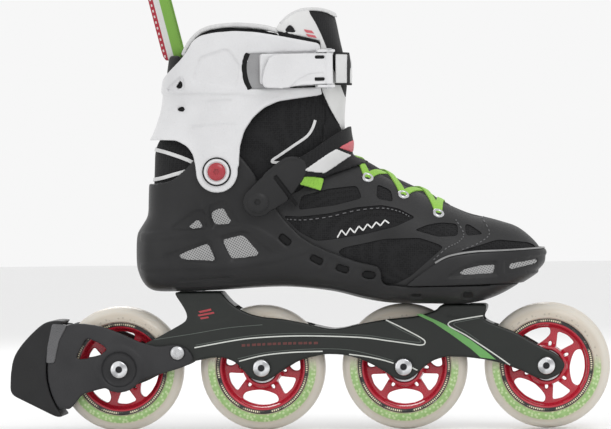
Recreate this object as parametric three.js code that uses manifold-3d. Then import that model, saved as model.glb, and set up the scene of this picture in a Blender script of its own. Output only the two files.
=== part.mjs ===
// Inline skate for the right foot, in millimetres.
// +X points to the toe, +Z up, and -Y is the outer side that carries the buckle.
// The drawings have their axles at axle_z and count x from the middle of the wheelbase. The last lines
// move the whole skate until it stands on z = 0 with its origin under the middle of its box.
import * as THREE from 'three';
import { mergeVertices } from 'three/addons/utils/BufferGeometryUtils.js';
import Module from 'manifold-3d';

const wasm = await Module();
wasm.setup();

// ---------------------------------------------------------------- driving sizes
const wheel_diameter = 90;
const wheel_spacing = 102;
const wheel_count = 4;
const tyre_width = 24;
const tyre_land = 6; // flat stretch of the tread, on which the skate stands
const hub_radius = 33;
const hub_rim_width = 17;
const hub_disc = 7; // thickness of the spoked disc
const hub_boss_radius = 14.5;
const bearing_radius = 11;
const bearing_bore = 4.1;
const bearing_width = 7;
const axle_radius = 3.7;
const bolt_head_radius = 6.4;
const bolt_head_height = 2.5;
const frame_wall = 3.5;
const frame_skin = 5; // thickness of the deck between the side walls
const brake_arm = 4;
const brake_pad_width = 45;
const brake_bridge = 5;
const sole_gap = 0.3; // between the frame's mounts and the sole
const shell_wall = 3.2;
const cuff_wall = 3;
const fabric_wall = 2.4;
const liner_wall = 7;
const strap_thickness = 2.8;
const strap_height = 23; // width of the buckled band
const insole_thickness = 4;

// ---------------------------------------------------------------- clearances
const touch_gap = 0.35; // between pieces that rest on each other
const layer_gap = 0.4; // between the nested layers of the boot
const cuff_gap = 0.9; // between the swinging cuff and the shell
const wheel_clearance = 3.5; // between tread and frame
const wheel_side_gap = 1.5; // between a tyre's side and the frame wall
const bolt_clearance = 0.5; // round a bolt's shank

// ---------------------------------------------------------------- places that others follow
const wheel_radius = wheel_diameter / 2;
const wheel_x = [];
for (let i = 0; i < wheel_count; i += 1) {
  wheel_x.push((i - (wheel_count - 1) / 2) * wheel_spacing);
}
const axle_z = 45; // height of the axles in the drawings
const channel_half = tyre_width / 2 + wheel_side_gap;
const frame_half = channel_half + frame_wall;
const arm_inner = frame_half + touch_gap;
const arm_outer = arm_inner + brake_arm;
const ankle = [-79, 186]; // x and z of the cuff's pivot
const arm_pivot = [-50, 164]; // x and z of the instep strap's pivot
const brake_pivot = [wheel_x[0] + 42, axle_z + 11.5]; // x and z of the screws that hold the brake's arms
const rear_mount = [wheel_x[1] - 45, 100]; // x and top height of the frame's rear tower
const front_mount = [wheel_x[2] + 43.5, 89.5]; // x and top height of the frame's front tower

// ---------------------------------------------------------------- shaping helpers
// A closed three.js geometry as a solid, turned right side out.
function solid(geometry) {
  const bare = geometry.clone();
  bare.deleteAttribute('normal');
  bare.deleteAttribute('uv');
  const merged = mergeVertices(bare, 1e-4);
  const at = merged.attributes.position.array;
  const index = merged.index.array;
  const corners = [];
  let volume = 0;
  for (let i = 0; i < index.length; i += 3) {
    const [a, b, c] = [index[i], index[i + 1], index[i + 2]];
    if (a === b || b === c || a === c) continue;
    corners.push(a, b, c);
    const [p, q, r] = [a, b, c].map((k) => new THREE.Vector3().fromArray(at, 3 * k));
    volume += p.dot(q.cross(r));
  }
  const triVerts = new Uint32Array(volume < 0 ? corners.reverse() : corners);
  return new wasm.Manifold(new wasm.Mesh({ numProp: 3, vertProperties: new Float32Array(at), triVerts }));
}

// An outline of [x, z] points as a plate from y0 to y1.
function plate(outline, y0, y1, holes = []) {
  const shape = new THREE.Shape(outline.map(([x, z]) => new THREE.Vector2(x, z)));
  holes.forEach((hole) => shape.holes.push(new THREE.Path(hole.map(([x, z]) => new THREE.Vector2(x, z)))));
  const geometry = new THREE.ExtrudeGeometry(shape, { depth: y1 - y0, bevelEnabled: false });
  geometry.rotateX(Math.PI / 2);
  geometry.translate(0, y1, 0);
  return solid(geometry);
}

// A profile of [radius, y] points turned about an axis along Y through [x, z].
function turned(profile, x, z, sides) {
  const points = profile.map(([r, y]) => new THREE.Vector2(r, y));
  const geometry = new THREE.LatheGeometry(points, sides, Math.PI / sides);
  geometry.translate(x, 0, z);
  return solid(geometry);
}

// A round rod along Y from y0 to y1.
function rod(radius, x, z, y0, y1, sides = 16) {
  return turned([[0, y0], [radius, y0], [radius, y1], [0, y1]], x, z, sides);
}

// A round rod along Z from z0 to z1.
function post(radius, x, z0, z1, sides = 12) {
  const geometry = new THREE.CylinderGeometry(radius, radius, z1 - z0, sides);
  geometry.rotateX(Math.PI / 2);
  geometry.translate(x, 0, (z0 + z1) / 2);
  return solid(geometry);
}

function block([x0, y0, z0], [x1, y1, z1]) {
  const geometry = new THREE.BoxGeometry(x1 - x0, y1 - y0, z1 - z0);
  geometry.translate((x0 + x1) / 2, (y0 + y1) / 2, (z0 + z1) / 2);
  return solid(geometry);
}

// Points of an arc about [x, z], angles in degrees.
function arc([x, z], radius, from, to, steps) {
  const points = [];
  for (let k = 0; k <= steps; k += 1) {
    const angle = THREE.MathUtils.degToRad(from + (to - from) * k / steps);
    points.push([x + radius * Math.cos(angle), z + radius * Math.sin(angle)]);
  }
  return points;
}

// Outline of a link with a round eye at each end.
function link(p, p_radius, q, q_radius) {
  const along = THREE.MathUtils.radToDeg(Math.atan2(q[1] - p[1], q[0] - p[0]));
  return [
    ...arc(p, p_radius, along + 90, along + 270, 8),
    ...arc(q, q_radius, along - 90, along + 90, 6),
  ];
}

// Rings of points joined into a closed body with flat ends.
function loft(rings) {
  const sides = rings[0].length;
  const vertices = rings.flat().flatMap((p) => p.toArray());
  const triangles = [];
  for (let i = 0; i + 1 < rings.length; i += 1) {
    for (let k = 0; k < sides; k += 1) {
      const a = i * sides + k;
      const b = i * sides + (k + 1) % sides;
      triangles.push(a, b, b + sides, a, b + sides, a + sides);
    }
  }
  [0, rings.length - 1].forEach((i) => {
    const centre = vertices.length / 3;
    const middle = rings[i].reduce((sum, p) => sum.add(p), new THREE.Vector3()).divideScalar(sides);
    vertices.push(...middle.toArray());
    for (let k = 0; k < sides; k += 1) {
      const a = i * sides + k;
      const b = i * sides + (k + 1) % sides;
      triangles.push(...(i === 0 ? [centre, b, a] : [centre, a, b]));
    }
  });
  const geometry = new THREE.BufferGeometry();
  geometry.setAttribute('position', new THREE.Float32BufferAttribute(vertices, 3));
  geometry.setIndex(triangles);
  return solid(geometry);
}

// A power that keeps its sign, for rounded-box sections.
function bend(value, power) {
  return Math.sign(value) * Math.abs(value) ** power;
}

// ---------------------------------------------------------------- the foot and leg forms
// Every layer of the boot is one of these two forms, set in by its own amount.
// Foot stations: x, half width, underside, top.
const foot_stations = [
  [-141, 9, 118, 142],
  [-137, 20, 108, 148],
  [-129, 30, 101, 158],
  [-110, 36, 100.3, 172],
  [-80, 37, 101, 184],
  [-35, 37, 103, 193],
  [0, 41, 99.5, 196],
  [22, 44, 94, 192],
  [42, 47, 90.6, 181],
  [70, 49, 89.8, 168],
  [98, 47, 89.8, 155],
  [118, 42, 95, 150],
  [136, 32, 105, 143],
  [148, 19, 113, 133],
  [153, 8, 119, 126],
];
// Leg stations: height, back, front, half width.
const leg_stations = [
  [140, -134, -30, 40],
  [152, -136, -15, 42],
  [165, -136, -2, 44],
  [186, -135, 8, 46],
  [203, -134, 14.5, 45],
  [214, -128, 13, 44],
  [232, -122, 13.5, 43.5],
  [248, -120.5, 15.4, 45],
  [262, -118, 14.5, 46.5],
  [280, -116, 11, 48],
  [297, -115, 8, 49],
  [312, -115, 2, 49],
];
const ring_sides = 14;

function foot({ side, top = side, base = side }) {
  const first = foot_stations[0][0];
  const last = foot_stations[foot_stations.length - 1][0];
  const middle = (first + last) / 2;
  const shrink = 1 - 2 * side / (last - first);
  return loft(foot_stations.map(([x, half, low, high]) => {
    const floor = Math.min(low + base, low + 0.36 * (high - low) - 0.5);
    const roof = Math.max(high - top, low + 0.36 * (high - low) + 0.5);
    const waist = low + 0.36 * (high - low);
    const ring = [];
    for (let k = 0; k < ring_sides; k += 1) {
      const angle = 2 * Math.PI * k / ring_sides;
      const up = Math.sin(angle);
      const y = Math.max(half - side, 1) * bend(Math.cos(angle), up > 0 ? 0.85 : 0.55);
      const z = waist + (up > 0 ? (roof - waist) * bend(up, 0.9) : (waist - floor) * bend(up, 0.6));
      ring.push(new THREE.Vector3(middle + (x - middle) * shrink, y, z));
    }
    return ring;
  }));
}

function leg(inset) {
  return loft(leg_stations.map(([z, back, front, half]) => {
    const ring = [];
    for (let k = 0; k < ring_sides; k += 1) {
      const angle = 2 * Math.PI * k / ring_sides;
      const x = (back + front) / 2 + ((front - back) / 2 - inset) * bend(Math.cos(angle), 0.72);
      ring.push(new THREE.Vector3(x, (half - inset) * bend(Math.sin(angle), 0.72), z));
    }
    return ring;
  }));
}

// Insets of the layers, from the outside in. foot_* counts on the foot form, leg_* on the leg form.
const cuff_inner = cuff_wall;
const shell_leg = cuff_inner + cuff_gap;
const fabric_foot = shell_wall + layer_gap;
const fabric_leg = shell_leg + shell_wall + layer_gap;
const liner_foot = fabric_foot + fabric_wall + layer_gap;
const liner_leg = fabric_leg + fabric_wall + layer_gap;
const collar_leg = shell_leg;
const reach = 80; // half width of a plate that cuts right through the boot

function cut(outline, y0 = -reach, y1 = reach) {
  return plate(outline, y0, y1);
}

const shell_form = foot({ side: 0 }).add(leg(shell_leg));
const cuff_form = leg(0);

// ---------------------------------------------------------------- wheels
const tyre_sides = 20; // a multiple of four, so that a flat of the tread faces the ground

function tyre(x) {
  const bottom = wheel_radius / Math.cos(Math.PI / tyre_sides);
  const half = tyre_width / 2;
  const seat = hub_radius + touch_gap + 0.2;
  return turned([
    [bottom, -tyre_land / 2],
    [bottom - 1.6, -tyre_land / 2 - 4],
    [bottom - 5.5, -half + 1.6],
    [bottom - 9.5, -half],
    [seat, -half + 1],
    [seat, half - 1],
    [bottom - 9.5, half],
    [bottom - 5.5, half - 1.6],
    [bottom - 1.6, tyre_land / 2 + 4],
    [bottom, tyre_land / 2],
    [bottom, -tyre_land / 2],
  ], x, axle_z, tyre_sides);
}

const seat_end = tyre_width / 2; // the bearings end flush with the tyre's sides
const seat_start = seat_end - bearing_width - touch_gap;

function hub(x, turn) {
  const rim = hub_rim_width / 2;
  const disc = hub_disc / 2;
  const inner = hub_radius - 2.8;
  const pocket = bearing_radius + touch_gap;
  const half = [
    [pocket - 1.8, seat_start],
    [pocket, seat_start],
    [pocket, seat_end],
    [pocket + 1.6, seat_end],
    [hub_boss_radius, disc],
    [inner, disc],
    [inner, rim],
    [hub_radius, rim],
  ];
  const mirrored = half.map(([r, y]) => [r, -y]).reverse();
  let body = turned([...half, ...mirrored, half[0]], x, axle_z, 16);
  for (let k = 0; k < 6; k += 1) {
    const wide = k % 2 === 0 ? 27 : 13;
    const low = k % 2 === 0 ? hub_boss_radius + 1.5 : hub_boss_radius + 4.5;
    const middle = turn + 60 * k;
    const window = [
      ...arc([x, axle_z], hub_radius - 4.5, middle - wide, middle + wide, 2),
      ...arc([x, axle_z], low, middle + wide / 3, middle - wide / 3, 1),
    ];
    body = body.subtract(plate(window, -hub_disc, hub_disc));
  }
  return body;
}

function bearing(x, side) {
  const y0 = side > 0 ? seat_end - bearing_width : -seat_end;
  const y1 = y0 + bearing_width;
  const ring = [[bearing_bore, y0], [bearing_radius, y0], [bearing_radius, y1], [bearing_bore, y1], [bearing_bore, y0]];
  return turned(ring, x, axle_z, 12);
}

function spacer(x) {
  const half = seat_end - bearing_width - touch_gap;
  return turned([
    [bearing_bore, -half], [bearing_bore + 2.4, -half],
    [bearing_bore + 2.4, half], [bearing_bore, half], [bearing_bore, -half],
  ], x, axle_z, 12);
}

// Short screw that holds one brake arm to the frame wall beside the rear wheel.
function brake_bolt(side) {
  const profile = [
    [0, channel_half + 0.2], [2.7, channel_half + 0.2], [2.7, arm_outer + touch_gap], [5, arm_outer + touch_gap],
    [5, arm_outer + touch_gap + 1.6], [4.2, arm_outer + touch_gap + 2.4], [0, arm_outer + touch_gap + 2.4],
  ];
  return turned(profile.map(([r, y]) => [r, side * y]), ...brake_pivot, 12);
}

// One bolt through both frame walls, with a head on each end.
function cross_bolt(x, z, radius, head, seat) {
  return turned([
    [0, -seat - bolt_head_height], [head - 0.8, -seat - bolt_head_height], [head, -seat - bolt_head_height + 0.8],
    [head, -seat], [radius, -seat], [radius, seat], [head, seat],
    [head, seat + bolt_head_height - 0.8], [head - 0.8, seat + bolt_head_height], [0, seat + bolt_head_height],
  ], x, z, 12);
}

// ---------------------------------------------------------------- frame
// Points of a piece's outline given from the axle of one wheel.
function from_axle(wheel, points) {
  return points.map(([x, z]) => [wheel_x[wheel] + x, axle_z + z]);
}

function from_mount([mount_x, top], points) {
  return points.map(([x, z]) => [mount_x + x, top + z]);
}

function polar(wheel, radius, angle) {
  const turn = THREE.MathUtils.degToRad(angle);
  return [wheel_x[wheel] + radius * Math.cos(turn), axle_z + radius * Math.sin(turn)];
}

function lobe(wheel, radius, from, to, steps) {
  return arc([wheel_x[wheel], axle_z], radius, from, to, steps);
}

const frame_outline = [
  ...from_mount(rear_mount, [[-17, 0], [-14, -6], [-9, -15], [-9.5, -21], [-16, -24.5]]),
  ...from_axle(0, [[28, 23], [13, 15]]),
  ...lobe(0, 13, 90, 255, 6),
  ...from_axle(0, [[15, -10.5], [28, -4.5], [42, 2.5], [55, 5.5]]), ...from_axle(1, [[-28, 8], [-15, 2]]),
  ...lobe(1, 10, 230, 310, 3),
  ...from_axle(1, [[13, -3], [24, 4], [39, 9]]), [0, axle_z + 10], ...from_axle(2, [[-37, 7.5], [-21, 1], [-11, -4.5]]),
  ...lobe(2, 10, 240, 310, 3),
  ...from_axle(2, [[11, -2], [21, 4.5], [31, 7.5], [45, 6.5]]), ...from_axle(3, [[-41, 4], [-25, -1], [-11, -7.5]]),
  ...lobe(3, 10, 250, 300, 2),
  ...from_axle(3, [[10, -5.5], [14, 0], [4, 10.5], [-13, 19], [-29, 27]]),
  ...from_mount(front_mount, [[17.5, -12.5], [13.5, -9.5], [16.5, -5.5], [16.5, 0], [-16.5, 0], [-18.5, -4]]),
  ...from_axle(2, [[9, 36], [-13, 34], [-31, 31]]), [2, axle_z + 27.5], ...from_axle(1, [[31, 32], [3, 36.5]]),
  ...from_mount(rear_mount, [[34, -15], [24, -9], [17, 0]]),
];

function frame() {
  let body = plate(frame_outline, -frame_half, frame_half);
  body = body.subtract(plate(frame_outline, -channel_half, channel_half).translate([0, 0, -frame_skin]));
  wheel_x.forEach((x) => {
    body = body.subtract(rod(wheel_radius + wheel_clearance, x, axle_z, -channel_half, channel_half, 20));
    const boss = rod(bearing_radius - 4.5, x, axle_z, seat_end + touch_gap, frame_half - 1, 10);
    body = body.add(boss).add(rod(bearing_radius - 4.5, x, axle_z, -frame_half + 1, -seat_end - touch_gap, 10));
    body = body.subtract(rod(axle_radius + bolt_clearance, x, axle_z, -reach, reach, 10));
  });
  body = body.subtract(rod(2.7 + bolt_clearance, ...brake_pivot, -reach, reach, 12));
  [rear_mount, front_mount].forEach(([x, top]) => {
    body = body.subtract(post(4 + bolt_clearance, x, top - frame_skin - 5, top + 5));
  });
  return body;
}

// Bolt up through a tower of the frame into the sole.
function mount_bolt([x, top]) {
  const under = top - frame_skin - touch_gap;
  return post(4, x, under - 1, top + sole_gap + 3.2).add(post(7, x, under - 4, under));
}

// ---------------------------------------------------------------- heel brake
const rear_wheel = [wheel_x[0], axle_z];
const bridge_inner = wheel_radius + 2;
const bridge_outer = bridge_inner + brake_bridge;
const arm_outline = [
  ...from_axle(0, [
    [-12, 31], [3, 25], [15, 19], [28, 15.5], [42, 17.5], [50, 13], [53, 5],
    [47, 1.5], [28, -4], [13, -9], [3, -14], [-12, -15], [-27, -17],
  ]),
  polar(0, bridge_outer - 13.4, 216.6),
  polar(0, bridge_outer - 4.4, 219),
  ...lobe(0, bridge_outer, 216, 138, 8),
  polar(0, bridge_outer - 3.9, 135),
];
const arm_window = from_axle(0, [[-24, 22], [-31, 7], [-16, 9], [-13, 18]]);
const pad_outline = from_axle(0, [
  [-42, 36], [-52, 35], [-59, 30], [-69, 20], [-76, 11], [-78, 1], [-79, -17],
  [-43, -35], [-33, -29], [-33, -15], [-27, 0], [-27, 30],
]);
const pad_screw_z = axle_z + 3;
const pad_screw_tip = rear_wheel[0] - bridge_inner - 3.6;
const pad_screw_head = [wheel_x[0] - 72.5, wheel_x[0] - 69]; // its head's two ends along x

function brake_housing() {
  const arms = plate(arm_outline, -arm_outer, arm_outer, [arm_window])
    .subtract(block([wheel_x[0] - 100, -arm_inner, 0], [wheel_x[0] + 80, arm_inner, 100]));
  const ring = [
    ...arc(rear_wheel, bridge_outer, 214, 142, 8),
    ...arc(rear_wheel, bridge_inner, 142, 214, 8),
  ];
  let body = arms.add(plate(ring, -arm_outer, arm_outer));
  body = body.subtract(rod(axle_radius + bolt_clearance, ...rear_wheel, -reach, reach, 12));
  body = body.subtract(rod(2.7 + bolt_clearance, ...brake_pivot, -reach, reach, 12));
  return body.subtract(screw_along_x(3 + bolt_clearance, pad_screw_head[0], pad_screw_tip + touch_gap));
}

function screw_along_x(radius, x0, x1) {
  const geometry = new THREE.CylinderGeometry(radius, radius, x1 - x0, 12);
  geometry.rotateZ(Math.PI / 2);
  geometry.translate((x0 + x1) / 2, 0, pad_screw_z);
  return solid(geometry);
}

function pad_screw() {
  const [end, seat] = pad_screw_head;
  return screw_along_x(3, seat, pad_screw_tip).add(screw_along_x(5.4, end, seat));
}

function brake_pad() {
  const half = brake_pad_width / 2;
  return plate(pad_outline, -half, half)
    .subtract(rod(bridge_outer + touch_gap, ...rear_wheel, -reach, reach, 40))
    .subtract(screw_along_x(3 + bolt_clearance, wheel_x[0] - 90, wheel_x[0] - 40))
    .subtract(screw_along_x(6, wheel_x[0] - 90, pad_screw_head[1] + touch_gap));
}

// ---------------------------------------------------------------- boot
const tongue_rear_edge = [
  [-37, 289], [-30, 270], [-16, 252], [-6, 243], [0, 231], [7, 217], [8, 206],
];
const far_front = 170;
const shell_outline = [
  [-150, 80], [160, 80], [160, 104.6], [37.5, 104.6], [37.5, 113], [36, 117], [30, 119], [20, 121],
  [0, 128.5], [-12, 134], [-20, 139], [-30, 149], [-38, 158], [-45, 171], [-55, 188], [-64, 199],
  [-79, 203], [-92, 199], [-102, 188], [-112, 179], [-150, 179],
];
const shell_windows = [
  [[-101, 146], [-93, 152], [-90, 146]],
  [[-84, 157], [-76, 160], [-70, 149.5], [-81, 148.5]],
  [[-108, 127], [-87, 134], [-82, 123], [-104, 124.5]],
  [[-76, 136.5], [-62, 140], [-50, 126], [-70, 124.5]],
];
// Side slots: centre x, centre z, tilt in degrees.
const side_slots = [[-31.5, 137, -40], [-9, 122.5, -27], [9.5, 116, -17], [28.5, 111.5, -3]];
const slot_length = 9;
const slot_height = 4.5;

function slot_outline([x, z, tilt]) {
  const turn = THREE.MathUtils.degToRad(tilt);
  return [[-1, -1], [1, -1], [1, 1], [-1, 1]].map(([i, k]) => {
    const along = i * slot_length / 2;
    const across = k * slot_height / 2;
    return [
      x + along * Math.cos(turn) - across * Math.sin(turn),
      z + along * Math.sin(turn) + across * Math.cos(turn),
    ];
  });
}

function boot_shell() {
  const inner = foot({ side: shell_wall }).add(leg(shell_leg + shell_wall));
  let body = shell_form.subtract(inner).intersect(cut(shell_outline));
  shell_windows.forEach((outline) => { body = body.subtract(cut(outline)); });
  side_slots.forEach((place) => { body = body.subtract(cut(slot_outline(place))); });
  [-1, 1].forEach((side) => {
    body = body.subtract(rod(4 + bolt_clearance, ...ankle, side > 0 ? 20 : -reach, side > 0 ? reach : -20));
    body = body.subtract(rod(3 + bolt_clearance, ...arm_pivot, side > 0 ? 20 : -reach, side > 0 ? reach : -20));
  });
  body = body.subtract(post(4 + bolt_clearance, rear_mount[0], 90, 110));
  return body.subtract(post(4 + bolt_clearance, front_mount[0], 80, 100));
}

const bumper_outline = [
  [56, 105], [65, 112], [75, 118.5], [82, 123], [90, 125], [105, 127], [125, 127.5], [149, 128.5], [far_front, 129],
  [far_front, 105],
];

function toe_bumper() {
  const outer = foot({ side: -1, top: 0, base: 0 });
  const inner = foot({ side: shell_wall, top: 0, base: -20 });
  return outer.subtract(inner).intersect(cut(bumper_outline));
}

const fabric_outline = [
  [-150, 90], [160, 90], [160, 170], [60, 210], [14, 204], [7, 206], [6, 217], [-1, 231], [-7, 243],
  [-12, 246], [-84, 246], [-96, 216], [-150, 216],
];
const throat_half = 13.5;
const throat_end = 84;

function upper() {
  const vamp = foot({ side: fabric_foot, top: 0 }).intersect(block([-35, -reach, 0], [200, reach, 220]));
  const outer = foot({ side: fabric_foot }).add(leg(fabric_leg)).add(vamp);
  const tongue_room = plate([[-8, 183.5], [5, 183.5], [8, 191.5], [40, 191.5], [40, 213], [-8, 213]],
    -tongue_half - layer_gap, tongue_half + layer_gap);
  const inner = foot({ side: fabric_foot + fabric_wall, top: fabric_wall }).add(leg(fabric_leg + fabric_wall));
  const throat = block([-30, -throat_half, 140], [throat_end, throat_half, 240]);
  return outer.subtract(inner).intersect(cut(fabric_outline)).subtract(throat.add(tongue_room));
}

const collar_bottom = 250;
const liner_outline = [
  [-150, 90], [160, 90], [160, 168], [100, 168], [60, 190], [20, 200], [4, 206], [2, 217], [-4, 229],
  [-10, 241], [-20, 250], [-34, 268], [-40, 288], [-52, 289.5], [-80, 290], [-90, 287], [-98, 279],
  [-103, 265], [-150, 265],
];
const tongue_half = 24;

function liner() {
  const body = foot({ side: liner_foot, top: fabric_wall + layer_gap }).add(leg(liner_leg));
  const outer = body.intersect(block([-200, -reach, 0], [200, reach, collar_bottom + 2]))
    .add(leg(collar_leg).intersect(block([-200, -reach, collar_bottom], [200, reach, 330])));
  const hollow = foot({ side: liner_foot + liner_wall, top: 12 }).add(leg(liner_leg + liner_wall));
  const throat = block([-30, -tongue_half - layer_gap, 149.6], [88, tongue_half + layer_gap, 206]);
  return outer.subtract(hollow).intersect(cut(liner_outline)).subtract(throat);
}

function tongue() {
  const gap = fabric_wall + layer_gap;
  const outer = foot({ side: liner_foot + 1, top: gap }).add(leg(collar_leg));
  const inner = foot({ side: liner_foot + 5, top: 11 }).add(leg(collar_leg + 8));
  const low = [[87, 150], [87, 175], [60, 195], [16, 206], [7, 206], [-4, 203], [-6, 190], [6, 178], [50, 150]];
  const high = [...tongue_rear_edge, [40, 205], [40, 290], [6, 298], [-2, 302.5], [-18, 302.5], [-28, 298], [-34, 292]];
  const shin = cut(high);
  const instep = plate([...low], -tongue_half, tongue_half);
  return outer.subtract(inner).intersect(instep.add(shin).add(plate([[4, 200], [40, 200], [40, 212], [4, 212]],
    -tongue_half, tongue_half)));
}

function insole() {
  const form = foot({ side: liner_foot + liner_wall + layer_gap, top: 14 });
  const toe_line = block([-200, -reach, 0], [130, reach, 160]);
  return form.subtract(form.translate([0, 0, insole_thickness])).intersect(toe_line);
}

// The lace crosses the throat from eyelet to eyelet; x and height of each crossing's end.
const lace_ends = [[29, 188.8], [41, 182.2], [53, 176.8], [65, 171.2], [77, 165.8]];
const lace_width = 6;
const lace_thickness = 1.6;
const lace_half = 17;

function lace() {
  let body = null;
  for (let i = 0; i + 1 < lace_ends.length; i += 1) {
    [-1, 1].forEach((side) => {
      const from = new THREE.Vector3(lace_ends[i][0], side * lace_half, lace_ends[i][1]);
      const to = new THREE.Vector3(lace_ends[i + 1][0], -side * lace_half, lace_ends[i + 1][1]);
      const run = new THREE.BoxGeometry(from.distanceTo(to) + lace_width * 0.6, lace_width, lace_thickness);
      const along = to.clone().sub(from).normalize();
      const slope = new THREE.Vector3(lace_ends[4][0] - lace_ends[0][0], 0, lace_ends[4][1] - lace_ends[0][1]);
      const up = new THREE.Vector3().crossVectors(slope.normalize(), new THREE.Vector3(0, 1, 0));
      const across = new THREE.Vector3().crossVectors(up, along).normalize();
      run.applyMatrix4(new THREE.Matrix4().makeBasis(along, across, new THREE.Vector3().crossVectors(along, across)));
      run.translate((from.x + to.x) / 2, 0, (from.z + to.z) / 2 + lace_thickness * 0.8);
      body = body ? body.add(solid(run)) : solid(run);
    });
  }
  return body;
}

// ---------------------------------------------------------------- cuff
const cuff_outline = [
  [-135, 209], [-128, 240], [-124, 247], [-117, 255], [-105, 266], [-100, 272], [-96, 279], [-90, 283],
  [-80, 285], [-50, 285], [-35, 282.5], [-20, 279.5], [-5, 276.5], [-3, 258], [-5, 239.5], [-20, 237.5],
  [-35, 235.5], [-45, 231], [-53, 224], [-59, 215], [-62, 205],
  ...arc(ankle, 15, 5, -185, 10),
  [-96, 198], [-100, 204], [-108, 208],
];
const cuff_vents = [[[-109, 246.5], [-104, 252.5], [-104, 246]], [[-109, 230.5], [-103, 233], [-102, 229]]];

function cuff() {
  let body = cuff_form.subtract(leg(cuff_inner)).intersect(cut(cuff_outline));
  cuff_vents.forEach((outline) => { body = body.subtract(cut(outline)); });
  body = body.subtract(rod(4 + bolt_clearance, ...ankle, -reach, reach));
  return body.subtract(rod(2.5 + bolt_clearance, ...band_anchor, 0, reach, 12));
}

// Rivet that carries the cuff on one side.
function ankle_bolt(side) {
  const head = 46 + touch_gap;
  const profile = [[0, 39.6], [4, 39.6], [4, head], [10, head], [10, head + 1.4], [7, head + 2.6], [0, head + 2.6]];
  return turned(profile.map(([r, y]) => [r, side * y]), ...ankle, 20);
}

// ---------------------------------------------------------------- instep strap
const strap_outer = { foot: -shell_wall, leg: shell_leg - layer_gap - strap_thickness };
const strap_layer = foot({ side: strap_outer.foot, top: strap_outer.foot }).add(leg(strap_outer.leg))
  .subtract(foot({ side: -layer_gap, top: -layer_gap }).add(leg(strap_outer.leg + strap_thickness)));
const over_instep = [[10, 185], [24, 189], [36, 200], [18, 222], [3, 211], [-10, 202]];
const outer_band = [[-24, 181], [-3, 180], ...over_instep, [-27, 193]];
const inner_band = [[-58, 156], [-44, 153], [-20, 172], ...over_instep, [-34, 192], [-58, 172]];
const arm_tip = [-24, 188];

function instep_strap() {
  const arm_space = cut(link(arm_pivot, 11 + touch_gap, arm_tip, 9 + touch_gap), -reach, 0);
  const outer_side = strap_layer.intersect(cut(outer_band, -reach, 0.01)).subtract(arm_space);
  const inner_side = strap_layer.intersect(cut(inner_band, 0, reach));
  return outer_side.add(inner_side).subtract(rod(3 + bolt_clearance, ...arm_pivot, 0, reach, 12));
}

function strap_arm() {
  return strap_layer.intersect(cut(link(arm_pivot, 11, arm_tip, 9), -reach, 0))
    .subtract(rod(3 + bolt_clearance, ...arm_pivot, -reach, 0, 12));
}

function strap_tab() {
  return strap_layer.intersect(cut([[-13, 178.8], [-3, 179.4], [-4.5, 172], [-15, 173]], -reach, 0))
    .subtract(cut(link(arm_pivot, 11 + touch_gap, arm_tip, 9 + touch_gap), -reach, 0));
}

function strap_bolt(side) {
  const head = 44.6;
  const profile = [[0, 38], [3, 38], [3, head], [6, head], [6, head + 1.2], [4.5, head + 2], [0, head + 2]];
  return turned(profile.map(([r, y]) => [r, side * y]), ...arm_pivot, 12);
}

// ---------------------------------------------------------------- buckle and its band
const band_low = 247;
const band_high = band_low + strap_height;
const band_anchor = [-30, 258.5];
const band_gap = 0.6;

function ladder_strap() {
  const layer = leg(-band_gap - strap_thickness).subtract(leg(-band_gap));
  const inner_side = cut([[-42, band_low], [40, band_low], [40, band_high], [-42, band_high]], 0, reach);
  const outer_side = cut([[6.5, band_low], [40, band_low], [40, band_high], [6.5, band_high]], -reach, 0.01);
  return layer.intersect(inner_side.add(outer_side)).subtract(rod(2.5 + bolt_clearance, ...band_anchor, 0, reach, 12));
}

function band_screw() {
  const head = 50;
  const profile = [[0, 43.8], [2.5, 43.8], [2.5, head], [5.5, head], [5.5, head + 1], [4, head + 1.8], [0, head + 1.8]];
  return turned(profile, ...band_anchor, 12);
}

// The buckle is drawn flat, its length along x and its outside at negative y, then set on the cuff.
const buckle_turn = THREE.MathUtils.degToRad(15.5);
const buckle_seat = new THREE.Matrix4().makeTranslation(-21, -42.2, band_low + strap_height / 2)
  .multiply(new THREE.Matrix4().makeRotationZ(buckle_turn));
const pin_at = [21.5, -6.7];
const lever_half = strap_height / 2;

function seated(body) {
  return body.transform(buckle_seat.elements);
}

function barrel(radius, low, high, sides = 12) {
  const geometry = new THREE.CylinderGeometry(radius, radius, high - low, sides);
  geometry.rotateX(Math.PI / 2);
  geometry.translate(...pin_at, (low + high) / 2);
  return solid(geometry);
}

function buckle_base() {
  let body = block([-28, -2.9, -lever_half], [26, 4, lever_half]);
  [-1, 1].forEach((side) => {
    const low = side > 0 ? lever_half : -lever_half - 2.4;
    const ear = block([15, -8.9, low], [26, 4, low + 2.4]);
    body = body.add(ear.subtract(barrel(1.6 + 0.2, low - 1, low + 4)));
  });
  return seated(body).subtract(leg(-touch_gap));
}

function buckle_lever() {
  const top = lever_half - touch_gap;
  const arm = block([-25, -7.9, -top], [20, -4.5, top]);
  return seated(arm.add(barrel(3, -top, top)).subtract(barrel(1.6 + 0.2, -30, 30)));
}

function buckle_pin() {
  return seated(barrel(1.6, -lever_half - 2.4, lever_half + 2.4));
}

// ---------------------------------------------------------------- pull loop at the heel
const loop_foot = 265 + touch_gap;
const loop_rise = 46;
const loop_half = 9;
const loop_band = 2.2;
const loop_width = 15;

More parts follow.
